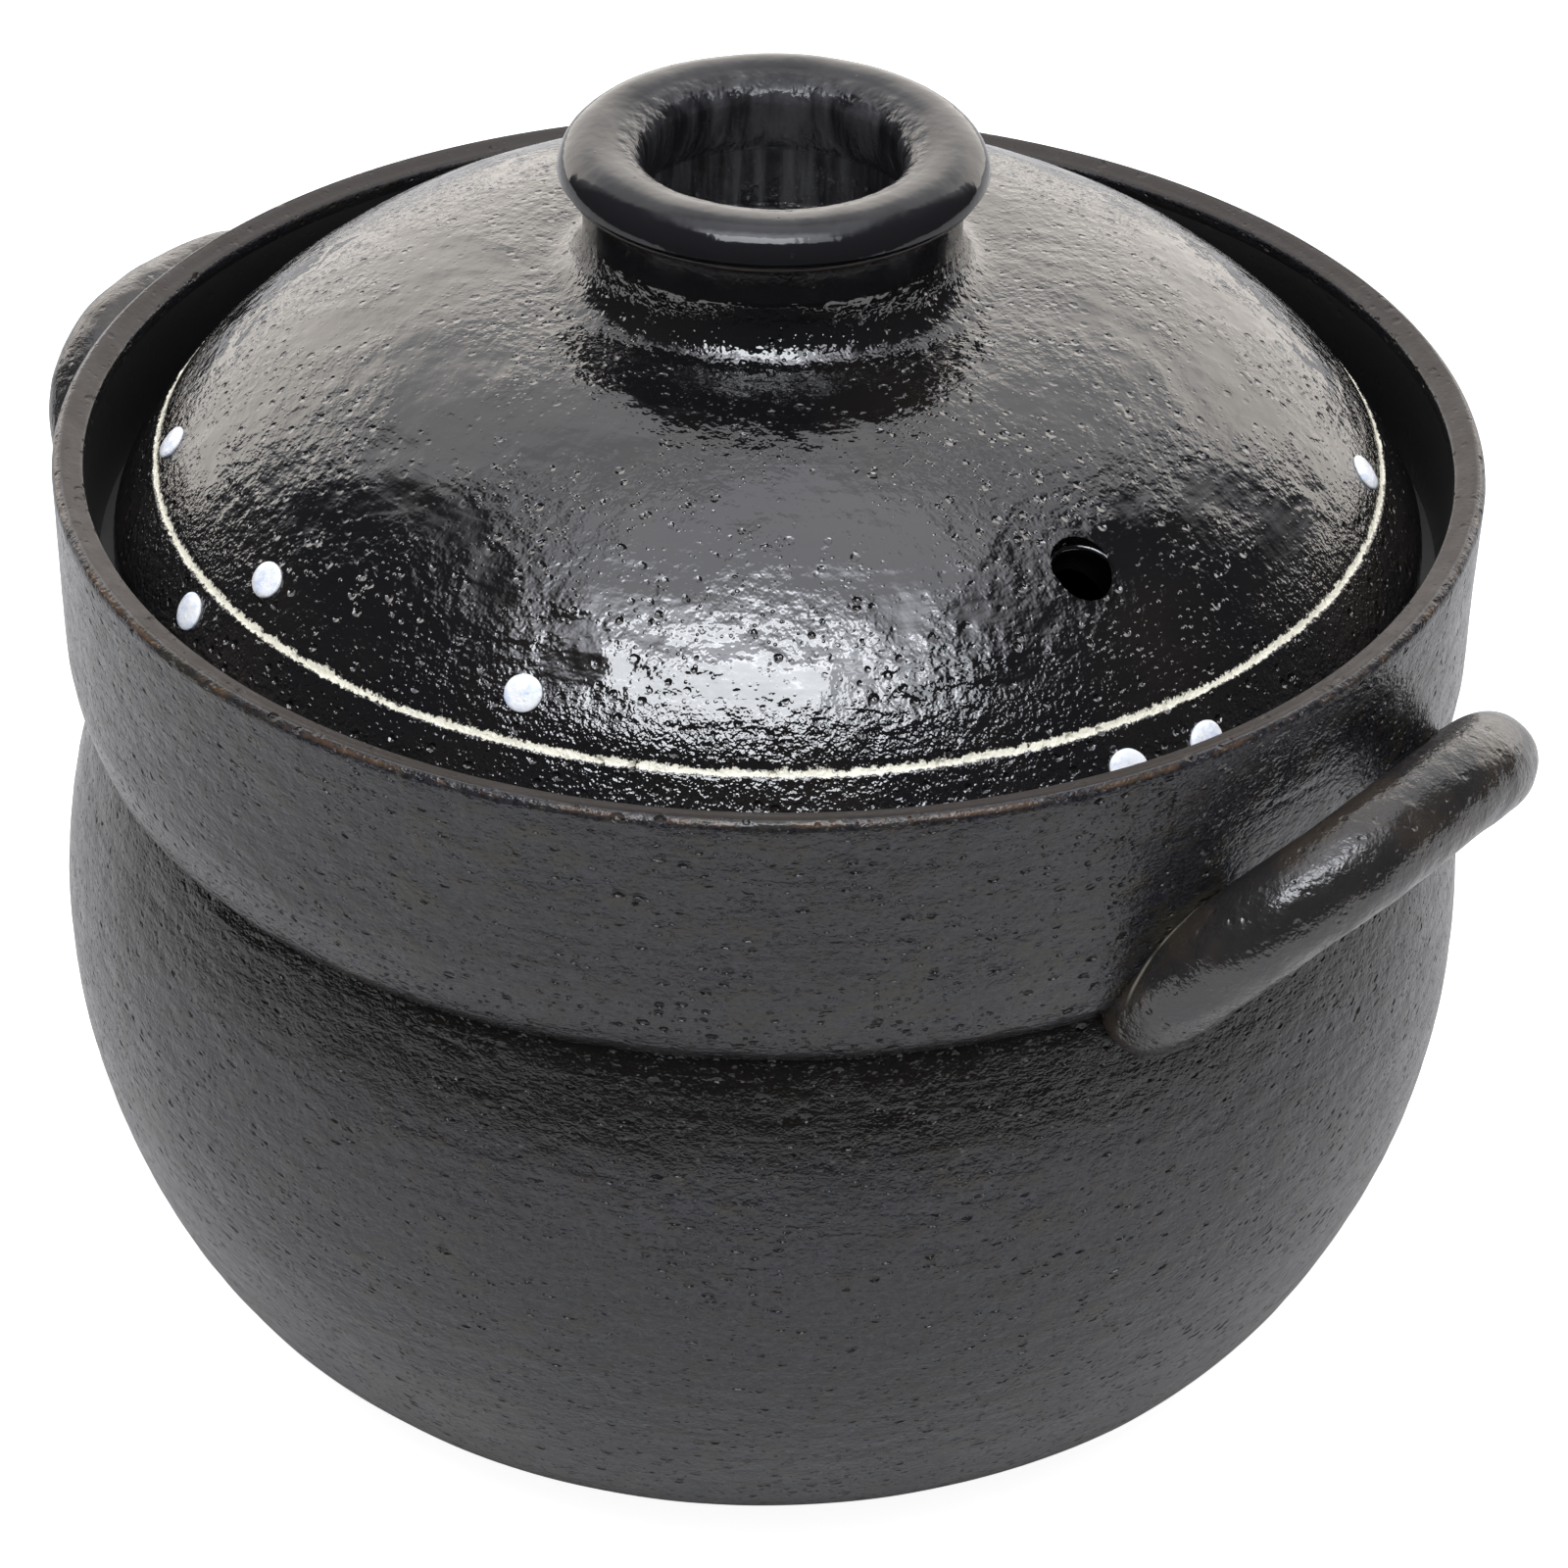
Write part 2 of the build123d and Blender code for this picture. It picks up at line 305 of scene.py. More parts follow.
    def gloss(self, colour: Value, rough: Value, relief: Value, index: float) -> None:
        """Close the tree with a Principled surface.

        Args:
            colour: Base colour.
            rough: Roughness.
            relief: Height pattern for the bump, in millimetres.
            index: Refractive index, the same all over.
        """
        bump = self.add("ShaderNodeBump", {}, {"Height": relief, "Distance": MM, "Strength": 1.0})
        sockets = {"Base Color": colour, "Roughness": rough, "Normal": bump, "IOR": index}
        shader = self.add_node("ShaderNodeBsdfPrincipled", {}, sockets)
        self.finish(shader.outputs["BSDF"])


def new_material(name: str) -> tuple[bpy.types.Material, Tree]:
    """Make an empty material and the tree that fills it."""
    material = bpy.data.materials.new(name)
    return material, Tree(material)


@dataclass(frozen=True)
class PotGlaze:
    """Satin iron-black glaze over coarse clay, thin and brown on the rim."""

    charcoal: Colour = (0.012, 0.012, 0.015)
    ash: Colour = (0.030, 0.030, 0.035)
    # Near-black brown: the glaze's own dark band under the collar plus painted shade there, and
    # painted shade in the pits.
    dark_glaze_and_shade: Colour = (0.006, 0.005, 0.004)
    brown: Colour = (0.022, 0.015, 0.010)
    olive: Colour = (0.036, 0.034, 0.022)
    rim_brown: Colour = (0.026, 0.018, 0.014)
    edge: Colour = (0.085, 0.052, 0.032)
    speck: Colour = (0.13, 0.12, 0.10)
    lining: Colour = (0.009, 0.009, 0.010)
    lining_rough: float = 0.36
    index: float = 1.57
    rim_height: float = 138.0 * MM
    rim_radius: float = 100.0 * MM
    # Heights of the darker band under the collar: partly the glaze's own band, partly painted
    # shade.
    collar_shade_low: Point = (78.0 * MM, 90.0 * MM)
    collar_shade_high: Point = (99.0 * MM, 101.0 * MM)

    def build(self) -> bpy.types.Material:
        """Lay the glaze's colours, sheen and relief.

        Returns:
            The pot's material.
        """
        material, tree = new_material("pot_glaze")
        outside = 1 - tree.attribute("inside")
        flat = tree.stretched(1, 1, 1.6)
        uneven = tree.ragged(flat, 1.6 * MM, 0.9 * MM)
        cloud = tree.noise(34 * MM, 2.0, 0.6)
        coarse = tree.noise(13 * MM, 2.0, 0.6, flat).ramp(0.40, 0.60, 0.2, 1.0)
        grain = tree.noise(0.95 * MM, 3.0, 0.7, flat)
        mottle = tree.noise(5.5 * MM, 4.0, 0.7, flat)
        pits = tree.spots(2.4 * MM, 0.8, 0.45, uneven)
        nicks = tree.spots(1.2 * MM, 0.9, 0.45, uneven)
        wheel = tree.noise(2.1 * MM, 2.0, 0.6, tree.rings())
        # Darker band under the collar: partly the glaze's own brown-black band, partly painted
        # shade from the collar.
        band = tree.z.ramp(*self.collar_shade_low) * (1 - tree.z.ramp(*self.collar_shade_high))
        tan = tree.spots(1.4 * MM, 0.7, 0.36, uneven) * band.ramp(0.0, 0.5, 0.04, 0.5)
        top, rim = self.rim_height, self.rim_radius
        crest = tree.z.ramp(top - 1.5 * MM, top - 0.8 * MM)
        crest = crest * (1 - tree.reach.ramp(rim - 1.5 * MM, rim - 0.9 * MM))
        rub = 1 - (tree.reach - (rim - 0.5 * MM)).size().ramp(0.1 * MM, 0.35 * MM)
        rub = rub * tree.z.ramp(top - 1.6 * MM, top - 1.2 * MM)
        rub = rub * tree.noise(7 * MM, 3.0, 0.7).ramp(0.42, 0.6)
        colour = tree.layers(
            self.charcoal,
            (grain.ramp(0.38, 0.64), self.ash),
            (mottle.ramp(0.46, 0.66) * 0.6, self.brown),
            ((cloud * mottle).ramp(0.27, 0.36) * 0.5, self.olive),
            (band * mottle.ramp(0.2, 0.5, 0.6, 0.95), self.dark_glaze_and_shade),
            (tan, self.speck),
            # Pits and nicks darkened: painted shade in the recesses.
            ((pits + nicks * 0.5).least(1.0) * 0.8, self.dark_glaze_and_shade),
            (crest * grain.ramp(0.3, 0.6, 0.55, 1.0), self.rim_brown),
            (rub, self.edge),
        )
        colour = tree.blend(outside, self.lining, colour)
        rough = mottle.ramp(0.3, 0.7, 0.15, 0.27) + crest * 0.3
        rough = rough * outside + (1 - outside) * self.lining_rough
        relief = grain * coarse * 0.15 + mottle * 0.55 + wheel * 0.16
        relief = relief - pits * coarse * 0.8 - nicks * 0.24
        relief = relief * (outside * 0.95 + 0.05) * (1 - crest * 0.7)
        tree.gloss(colour, rough, relief, self.index)
        return material


@dataclass(frozen=True)
class LidGlaze:
    """Mirror-black pebbled glaze with a ring of bare cream slip."""

    black: Colour = (0.006, 0.006, 0.007)
    brown: Colour = (0.012, 0.010, 0.009)
    cream: Colour = (0.88, 0.85, 0.70)
    # Lighter grey on the glaze drips in the knob's well: painted reflection.
    drip_sheen: Colour = (0.060, 0.060, 0.065)
    # Painted shade: the steam hole's wall is painted near-black.
    hole_shade_black: Colour = (0.002, 0.002, 0.002)
    index: float = 2.0
    line_radius: float = 85.75 * MM
    line_width: float = 0.56 * MM
    line_wander: float = 0.75 * MM
    line_above: Point = (126.0 * MM, 128.0 * MM)
    well: float = 20.0 * MM
    well_above: Point = (158.0 * MM, 160.0 * MM)
    neck_top: Point = (168.0 * MM, 170.5 * MM)
    outer_zone: Point = (78.0 * MM, 84.0 * MM)
    inner_zone: Point = (30.0 * MM, 40.0 * MM)
    hole: Point = (67.8 * MM, -21.9 * MM)
    hole_radius: float = 4.2 * MM

    def build(self) -> bpy.types.Material:
        """Lay the lid's glaze and its ring line.

        Returns:
            The outer lid's material.
        """
        material, tree = new_material("lid_glaze")
        cloud = tree.noise(26 * MM, 2.0, 0.5)
        torn = tree.noise(0.9 * MM, 3.0, 0.75) * 1.7 + tree.noise(4 * MM, 2.0, 0.5) * 0.6 - 1.15
        offset = (tree.reach - self.line_radius).size() + torn * self.line_wander
        line = 1 - offset.ramp(self.line_width * 0.42, self.line_width * 0.72)
        line = line * tree.z.ramp(*self.line_above)
        across, along = tree.x - self.hole[0], tree.y - self.hole[1]
        away = (across * across + along * along).maths("SQRT")
        bore = 1 - away.ramp(self.hole_radius, self.hole_radius + 0.5 * MM)
        well = 1 - tree.reach.ramp(self.well, self.well + 0.5 * MM)
        well = well * tree.z.ramp(*self.well_above)
        drips = tree.noise(2.4 * MM, 2.0, 0.5, tree.stretched(1, 1, 0.12))
        colour = tree.layers(
            self.black,
            (cloud.ramp(0.4, 0.7), self.brown),
            (line, self.cream),
            # The steam hole painted near-black: painted shade in the hole.
            (bore, self.hole_shade_black),
            # Drip streaks on the well's wall painted lighter: painted reflection along the glaze
            # drips.
            (well * drips.ramp(0.35, 0.72), self.drip_sheen),
        )
        outer = tree.reach.ramp(*self.outer_zone)
        inner = 1 - tree.reach.ramp(*self.inner_zone)
        crowd = tree.noise(15 * MM, 2.0, 0.6).ramp(0.38, 0.56, 0.18, 1.0)
        crowd = crowd.most((outer + inner).least(1.0))
        crowd = crowd * (1 - tree.z.ramp(*self.neck_top, 0.0, 0.9))
        craters = tree.spots(1.9 * MM, 0.9, 0.45, tree.ragged(tree.place, 1.2 * MM, 0.6 * MM))
        pocks = tree.spots(0.85 * MM, 0.95, 0.45)
        sand = tree.noise(0.6 * MM, 1.0, 0.6)
        skin = tree.noise(1.7 * MM, 2.0, 0.55)
        waves = tree.noise(8 * MM, 2.0, 0.5)
        wheel = tree.noise(2.8 * MM, 2.0, 0.5, tree.rings())
        relief = (skin * 0.30 + pocks * 0.10 - craters * 0.28) * crowd + sand * outer * 0.16
        relief = relief + waves * 0.42 + wheel * 0.14 + drips * well * 0.8
        rough = cloud.ramp(0.35, 0.7, 0.03, 0.06) + line * 0.45 + bore * 0.12 + well * 0.2
        tree.gloss(colour, rough, relief, self.index)
        return material


@dataclass(frozen=True)
class KnobGlaze:
    """Smooth poured black glaze that breaks brown where it runs thin."""

    black: Colour = (0.012, 0.012, 0.014)
    brown: Colour = (0.085, 0.058, 0.038)
    # Painted sheen: lighter grey laid on the top of the lip.
    crest_sheen: Colour = (0.034, 0.034, 0.037)
    # Lighter grey on the glaze drips inside the mouth: painted reflection.
    drip_sheen: Colour = (0.060, 0.060, 0.065)
    index: float = 1.54
    top: float = 182.75 * MM
    skirt: float = 176.7 * MM
    skirt_zone: Point = (27.5 * MM, 28.3 * MM)
    mouth_zone: Point = (18.5 * MM, 22.0 * MM)

    def build(self) -> bpy.types.Material:
        """Lay the ring knob's glaze.

        Returns:
            The knob's material.
        """
        material, tree = new_material("knob_glaze")
        drift = tree.noise(8 * MM, 3.0, 0.6)
        mouth = 1 - tree.reach.ramp(*self.mouth_zone)
        edge = 1 - (tree.z - self.skirt).size().ramp(0.12 * MM, 0.45 * MM)
        edge = edge * tree.reach.ramp(*self.skirt_zone)
        crest = tree.z.ramp(self.top - 2.0 * MM, self.top) * drift.ramp(0.35, 0.6)
        drips = tree.noise(2.4 * MM, 2.0, 0.5, tree.stretched(1, 1, 0.12))
        colour = tree.layers(
            self.black,
            # Top of the lip painted lighter: painted sheen.
            (crest * 0.6, self.crest_sheen),
            (edge * drift.ramp(0.3, 0.6, 0.3, 0.9), self.brown),
            # Drip streaks inside the mouth painted lighter: painted reflection along the glaze
            # drips.
            (mouth * drips.ramp(0.35, 0.72), self.drip_sheen),
        )
        dust = tree.spots(2.2 * MM, 0.5, 0.16)
        rough = drift.ramp(0.35, 0.7, 0.07, 0.12) + mouth * 0.12
        pebbles = tree.noise(0.9 * MM, 2.0, 0.6)
        calm = tree.z.ramp(self.skirt - 2 * MM, self.skirt + 1.5 * MM, 0.12, 1.0)
        relief = (drift * 0.2 + dust * 0.05) * calm + pebbles * (mouth * 0.12 + 0.012)
        tree.gloss(colour, rough, relief + drips * mouth * 0.9, self.index)
        return material


@dataclass(frozen=True)
class HandleGlaze:
    """Satin brown-black glaze over clay pressed by hand."""

    black: Colour = (0.021, 0.020, 0.020)
    brown: Colour = (0.041, 0.033, 0.026)
    # Light tan for the seam with the collar: partly glaze pulled thin at the edge, partly a painted
    # highlight.
    tan: Colour = (0.30, 0.27, 0.22)
    index: float = 1.75
    wall: float = 100.25 * MM
    seam_above: Point = (102.0 * MM, 106.0 * MM)

    def build(self) -> bpy.types.Material:
        """Lay the handles' glaze.

        Returns:
            The handles' material.
        """
        material, tree = new_material("handle_glaze")
        drift = tree.noise(13 * MM, 3.0, 0.6)
        mottle = tree.noise(2.8 * MM, 3.0, 0.65)
        grain = tree.noise(0.8 * MM, 2.0, 0.65)
        # Tan line along the seam with the collar: partly thin glaze, partly a painted highlight.
        seam = 1 - (tree.reach - self.wall).size().ramp(0.10 * MM, 0.42 * MM)
        seam = seam * tree.z.ramp(*self.seam_above) * drift.ramp(0.36, 0.5)
        colour = tree.layers(
            self.black, (drift.ramp(0.42, 0.66), self.brown), (seam * 0.8, self.tan)
        )
        rough = mottle.ramp(0.3, 0.7, 0.15, 0.28)
        pits = tree.spots(1.9 * MM, 0.8, 0.42)
        relief = tree.noise(8 * MM, 2.0, 0.5) * 0.7 + mottle * 0.34 + grain * 0.09 - pits * 0.14
        tree.gloss(colour, rough, relief, self.index)
        return material


@dataclass(frozen=True)
class SlipGlaze:
    """Thick bluish-white slip under clear glaze."""

    white: Colour = (0.94, 0.96, 0.99)
    blue: Colour = (0.68, 0.76, 0.92)
    index: float = 1.5

    def build(self) -> bpy.types.Material:
        """Lay the dots' finish.

        Returns:
            The slip's material.
        """
        material, tree = new_material("white_slip")
        drift = tree.noise(1.4 * MM, 3.0, 0.65)
        colour = tree.blend(drift.ramp(0.44, 0.68), self.white, self.blue)
        rough = drift.ramp(0.3, 0.7, 0.18, 0.34)
        relief = drift * 0.16 + tree.spots(0.8 * MM, 0.6, 0.4) * 0.05
        tree.gloss(colour, rough, relief, self.index)
        return material


@dataclass(frozen=True)
class InnerGlaze:
    """Plain satin black glaze of the inner lid."""

    black: Colour = (0.014, 0.014, 0.015)
    brown: Colour = (0.028, 0.023, 0.019)
    index: float = 1.6

    def build(self) -> bpy.types.Material:
        """Lay the inner lid's glaze.

        Returns:
            The inner lid's material.
        """
        material, tree = new_material("inner_glaze")
        drift = tree.noise(20 * MM, 4.0, 0.6)
        colour = tree.blend(drift.ramp(0.42, 0.66), self.black, self.brown)
        rough = tree.noise(5 * MM, 3.0, 0.6).ramp(0.3, 0.7, 0.22, 0.36)
        grain = tree.noise(0.95 * MM, 3.0, 0.65)
        wheel = tree.noise(2.4 * MM, 2.0, 0.5, tree.rings())
        relief = grain * 0.18 + wheel * 0.22 + drift * 0.6 - tree.spots(2.2 * MM, 0.7, 0.4) * 0.25
        tree.gloss(colour, rough, relief, self.index)
        return material


@dataclass
class Outline:
    """A half section, as points of (distance from the axis, height)."""

    points: list[Point]
    heading: float = 0.0

    def line(self, reach: float, height: float, pitch: float = 0.0) -> "Outline":
        """Go straight to a point.

        Args:
            reach: The point's distance from the axis.
            height: Its height.
            pitch: Distance between points on the way, or 0 for none.

        Returns:
            The outline, for the next move.
        """
        start = self.points[-1]
        length = math.dist(start, (reach, height))
        count = max(1, round(length / pitch)) if pitch else 1
        for index in range(1, count + 1):
            share = index / count
            self.points.append(
                (start[0] + (reach - start[0]) * share, start[1] + (height - start[1]) * share)
            )
        self.heading = math.atan2(height - start[1], reach - start[0])
        return self

    def arc(self, radius: float, turn: float, pitch: float) -> "Outline":
        """Go on in a tangent arc.

        Args:
            radius: The arc's radius.
            turn: Its angle, positive to the left.
            pitch: Distance between points on the way.

        Returns:
            The outline, for the next move.
        """
        side = 1.0 if turn > 0 else -1.0
        start, heading = self.points[-1], self.heading
        centre = (
            start[0] - side * radius * math.sin(heading),
            start[1] + side * radius * math.cos(heading),
        )
        count = max(2, round(abs(turn) * radius / pitch))
        for index in range(1, count + 1):
            angle = heading + turn * index / count
            self.points.append(
                (
                    centre[0] + side * radius * math.sin(angle),
                    centre[1] - side * radius * math.cos(angle),
                )
            )
        self.heading = heading + turn
        return self

    def aim(self, heading: float) -> "Outline":
        """Turn on the spot before the next arc."""
        self.heading = heading
        return self

    def refine(self, low: float, high: float, above: float, parts: int) -> None:
        """Split the steps of one stretch into parts.

        Args:
            low: The stretch's least distance from the axis.
            high: Its greatest distance from the axis.
            above: The height that it lies above.
            parts: Number of parts of each step.
        """
        finer = [self.points[0]]
        for here, there in zip(self.points, self.points[1:]):
            inside = low < max(here[0], there[0]) and min(here[0], there[0]) < high
            count = parts if inside and min(here[1], there[1]) > above else 1
            for index in range(1, count + 1):
                share = index / count
                finer.append(tuple(a + (b - a) * share for a, b in zip(here, there)))
        self.points = finer

    def ripple(self, depth: float, pitch: float, low: float, high: float, reach: float) -> None:
        """Press shallow throwing marks into the outline, along its normal.

        Args:
            depth: Largest depth; positive where the outline runs with its inside
                on the left, negative where it runs the other way.
            pitch: Distance between marks.
            low: Least height of the marked part.
            high: Greatest height of the marked part.
            reach: Least distance of the marked part from the axis.
        """
        chance = random.Random(round(pitch * 1e6))
        count = 97
        marks = [chance.uniform(0.1, 1.0) for _ in range(count)]
        way, moved = 0.0, list(self.points)
        for index in range(1, len(self.points) - 1):
            before, point, after = self.points[index - 1 : index + 2]
            way += math.dist(before, point)
            if low <= point[1] <= high and point[0] >= reach:
                step, share = divmod(way / pitch, 1.0)
                push = depth * marks[int(step) % count] * math.sin(math.pi * share) ** 2
                push /= math.dist(before, after)
                moved[index] = (
                    point[0] - push * (after[1] - before[1]),
                    point[1] + push * (after[0] - before[0]),
                )
        self.points = moved

    def reach_at(self, height: float) -> float:
        """The outline's greatest distance from the axis at a height.

        Args:
            height: Height of the cut.

        Returns:
            The distance, or 0 where the outline doesn't reach that height.
        """
        found = [0.0]
        for here, there in zip(self.points, self.points[1:]):
            low, high = sorted((here, there), key=lambda point: point[1])
            if low[1] <= height <= high[1] and high[1] > low[1]:
                share = (height - low[1]) / (high[1] - low[1])
                found.append(low[0] + (high[0] - low[0]) * share)
        return max(found)


class Bench:
    """The modelling moves that the pieces share."""

    @staticmethod
    def clear() -> None:
        """Leave edit mode and deselect everything."""
        if bpy.context.object and bpy.context.object.mode != "OBJECT":
            bpy.ops.object.mode_set(mode="OBJECT")
        bpy.ops.object.select_all(action="DESELECT")

    @staticmethod
    def settle() -> None:
        """Put the place, turn and size of what is selected into its mesh."""
        bpy.ops.object.transform_apply(location=True, rotation=True, scale=True)

    @classmethod
    def circle(cls, name: str, sides: int, **placing: object) -> bpy.types.Object:
        """Draw a circle and open it in edit mode, all selected.

        Args:
            name: The piece's name.
            sides: Number of its vertices.
            placing: Radius, place and turn, as the operator takes them.

        Returns:
            The circle.
        """
        cls.clear()
        bpy.ops.mesh.primitive_circle_add(vertices=sides, **placing)
        piece = bpy.context.object
        piece.name = piece.data.name = name
        cls.settle()
        bpy.ops.object.mode_set(mode="EDIT")
        bpy.ops.mesh.select_all(action="SELECT")
        return piece

    @classmethod
    def turn(cls, name: str, outline: Outline, steps: int) -> bpy.types.Object:
        """Turn a half section round the axis, as on a wheel.

        Args:
            name: The piece's name.
            outline: A closed section, or one that ends on the axis.
            steps: Number of divisions round the axis.

        Returns:
            The closed piece, with its faces pointing outwards.
        """
        reach, height = outline.points[0]
        piece = cls.circle(name, 3, radius=MM, location=(reach, 0, height))
        bpy.ops.mesh.merge(type="CENTER")
        for here, there in zip(outline.points, outline.points[1:]):
            move = (there[0] - here[0], 0, there[1] - here[1])
            bpy.ops.mesh.extrude_region_move(TRANSFORM_OT_translate={"value": move})
        bpy.ops.mesh.select_all(action="SELECT")
        bpy.ops.mesh.spin(steps=steps, angle=FULL_TURN, center=(0, 0, 0), axis=(0, 0, 1))
        cls.close(piece)
        return piece

    @classmethod
    def close(cls, piece: bpy.types.Object) -> None:
        """Merge doubles, point the faces outwards, shade smooth and leave edit mode.

        Args:
            piece: The piece, in edit mode.
        """
        bpy.ops.mesh.select_all(action="SELECT")
        bpy.ops.mesh.remove_doubles(threshold=WELD)
        bpy.ops.mesh.select_all(action="SELECT")
        bpy.ops.mesh.normals_make_consistent(inside=False)
        bpy.ops.object.mode_set(mode="OBJECT")
        bpy.ops.object.shade_smooth()

    @classmethod
    def pick(cls, piece: bpy.types.Object) -> None:
        """Make a piece the only selected and the active one.

        Args:
            piece: The piece.
        """
        cls.clear()
        piece.select_set(True)
        bpy.context.view_layer.objects.active = piece

    @classmethod
    def modify(cls, piece: bpy.types.Object, kind: str, **settings: object) -> None:
        """Add a modifier, set it and apply it.

        Args:
            piece: The piece to change.
            kind: The modifier's type name.
            settings: Its properties.
        """
        cls.pick(piece)
        modifier = piece.modifiers.new(kind.title(), kind)
        for name, setting in settings.items():
            setattr(modifier, name, setting)
        bpy.ops.object.modifier_apply(modifier=modifier.name)

    @classmethod
    def waver(cls, piece: bpy.types.Object, grain: float, strength: float, group: str = "") -> None:
        """Sink a surface unevenly, in slow waves.

        Args:
            piece: The piece to change.
            grain: Size of the waves.
            strength: Greatest depth.
            group: Vertex group that limits the waves, if any.
        """
        texture = bpy.data.textures.new(piece.name + "_waver", "CLOUDS")
        texture.noise_scale = grain
        texture.noise_depth = 1
        cls.modify(
            piece, "DISPLACE", texture=texture, strength=strength, mid_level=1.0,
            texture_coords="LOCAL", vertex_group=group,
        )

    @staticmethod
    def fade(
        piece: bpy.types.Object, name: str, low: Point, high: Point,
        keep: Optional[Callable[[Vector], bool]] = None,
    ) -> None:
        """Group the vertices between two heights, with weights that fade at both ends.

        Args:
            piece: The piece to change.
            name: The vertex group's name.
            low: Lower height and the distance over which the weight grows above it.
            high: Upper height and the distance over which it falls below that.
            keep: Says by its place whether a vertex belongs, all by default.
        """
        group = piece.vertex_groups.new(name=name)
        for vertex in piece.data.vertices:
            above, below = vertex.co.z - low[0], high[0] - vertex.co.z
            if above > 0 and below > 0 and (keep is None or keep(vertex.co)):
                group.add([vertex.index], min(above / low[1], below / high[1], 1.0), "REPLACE")

    @staticmethod
    def mark(piece: bpy.types.Object, name: str, picked: Sequence[int]) -> None:
        """Store a 1 at some vertices, for the material to read.

        Args:
            piece: The piece to change.
            name: The attribute's name.
            picked: Numbers of the vertices.
        """
        layer = piece.data.attributes.new(name, "FLOAT", "POINT")
        for index in picked:
            layer.data[index].value = 1.0

    @classmethod
    def select(cls, piece: bpy.types.Object, picked: Sequence[int]) -> None:
        """Go to edit mode with just some vertices selected.

        Args:
            piece: The piece.
            picked: Numbers of the vertices.
        """
        cls.pick(piece)
        bpy.ops.object.mode_set(mode="EDIT")
        bpy.ops.mesh.select_all(action="DESELECT")
        bpy.ops.object.mode_set(mode="OBJECT")
        for index in picked:
            piece.data.vertices[index].select = True
        bpy.ops.object.mode_set(mode="EDIT")

    @staticmethod
    def swing(angle: float, middle: Sequence[float]) -> None:
        """Turn what is selected about a vertical; the operator counts clockwise."""
        bpy.ops.transform.rotate(value=-angle, orient_axis="Z", center_override=middle)

    @classmethod
    def carve(cls, piece: bpy.types.Object, cutter: bpy.types.Object) -> None:
        """Cut a closed tool out of a piece and drop the tool.

        Args:
            piece: The piece to cut.
            cutter: The tool.
        """
        cls.modify(piece, "BOOLEAN", object=cutter, operation="DIFFERENCE", solver="EXACT")
        cls.pick(cutter)
        bpy.ops.object.delete()

    @staticmethod
    def dress(piece: bpy.types.Object, material: bpy.types.Material) -> None:
        """Give a piece its only material."""
        piece.data.materials.clear()
        piece.data.materials.append(material)

    @classmethod
    def finish(
        cls, piece: bpy.types.Object, glaze: bpy.types.Material, body: Body, slot: Slot, *nodes: str
    ) -> bpy.types.Object:
        """Glaze a piece and attach it to the frame.

        Args:
            piece: The modelled piece.
            glaze: Its material.
            body: The body that it moves with.
            slot: The material slot that it stands for; not used.
            nodes: The CAD nodes that it replaces.

        Returns:
            The finished piece.
        """
        cls.pick(piece)
        bpy.ops.object.shade_smooth_by_angle(angle=SHARP)
        cls.dress(piece, glaze)
        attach(piece, body.value)
        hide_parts(*nodes)
        LOG.info("%s finished, %d faces", piece.name, len(piece.data.polygons))
        return piece


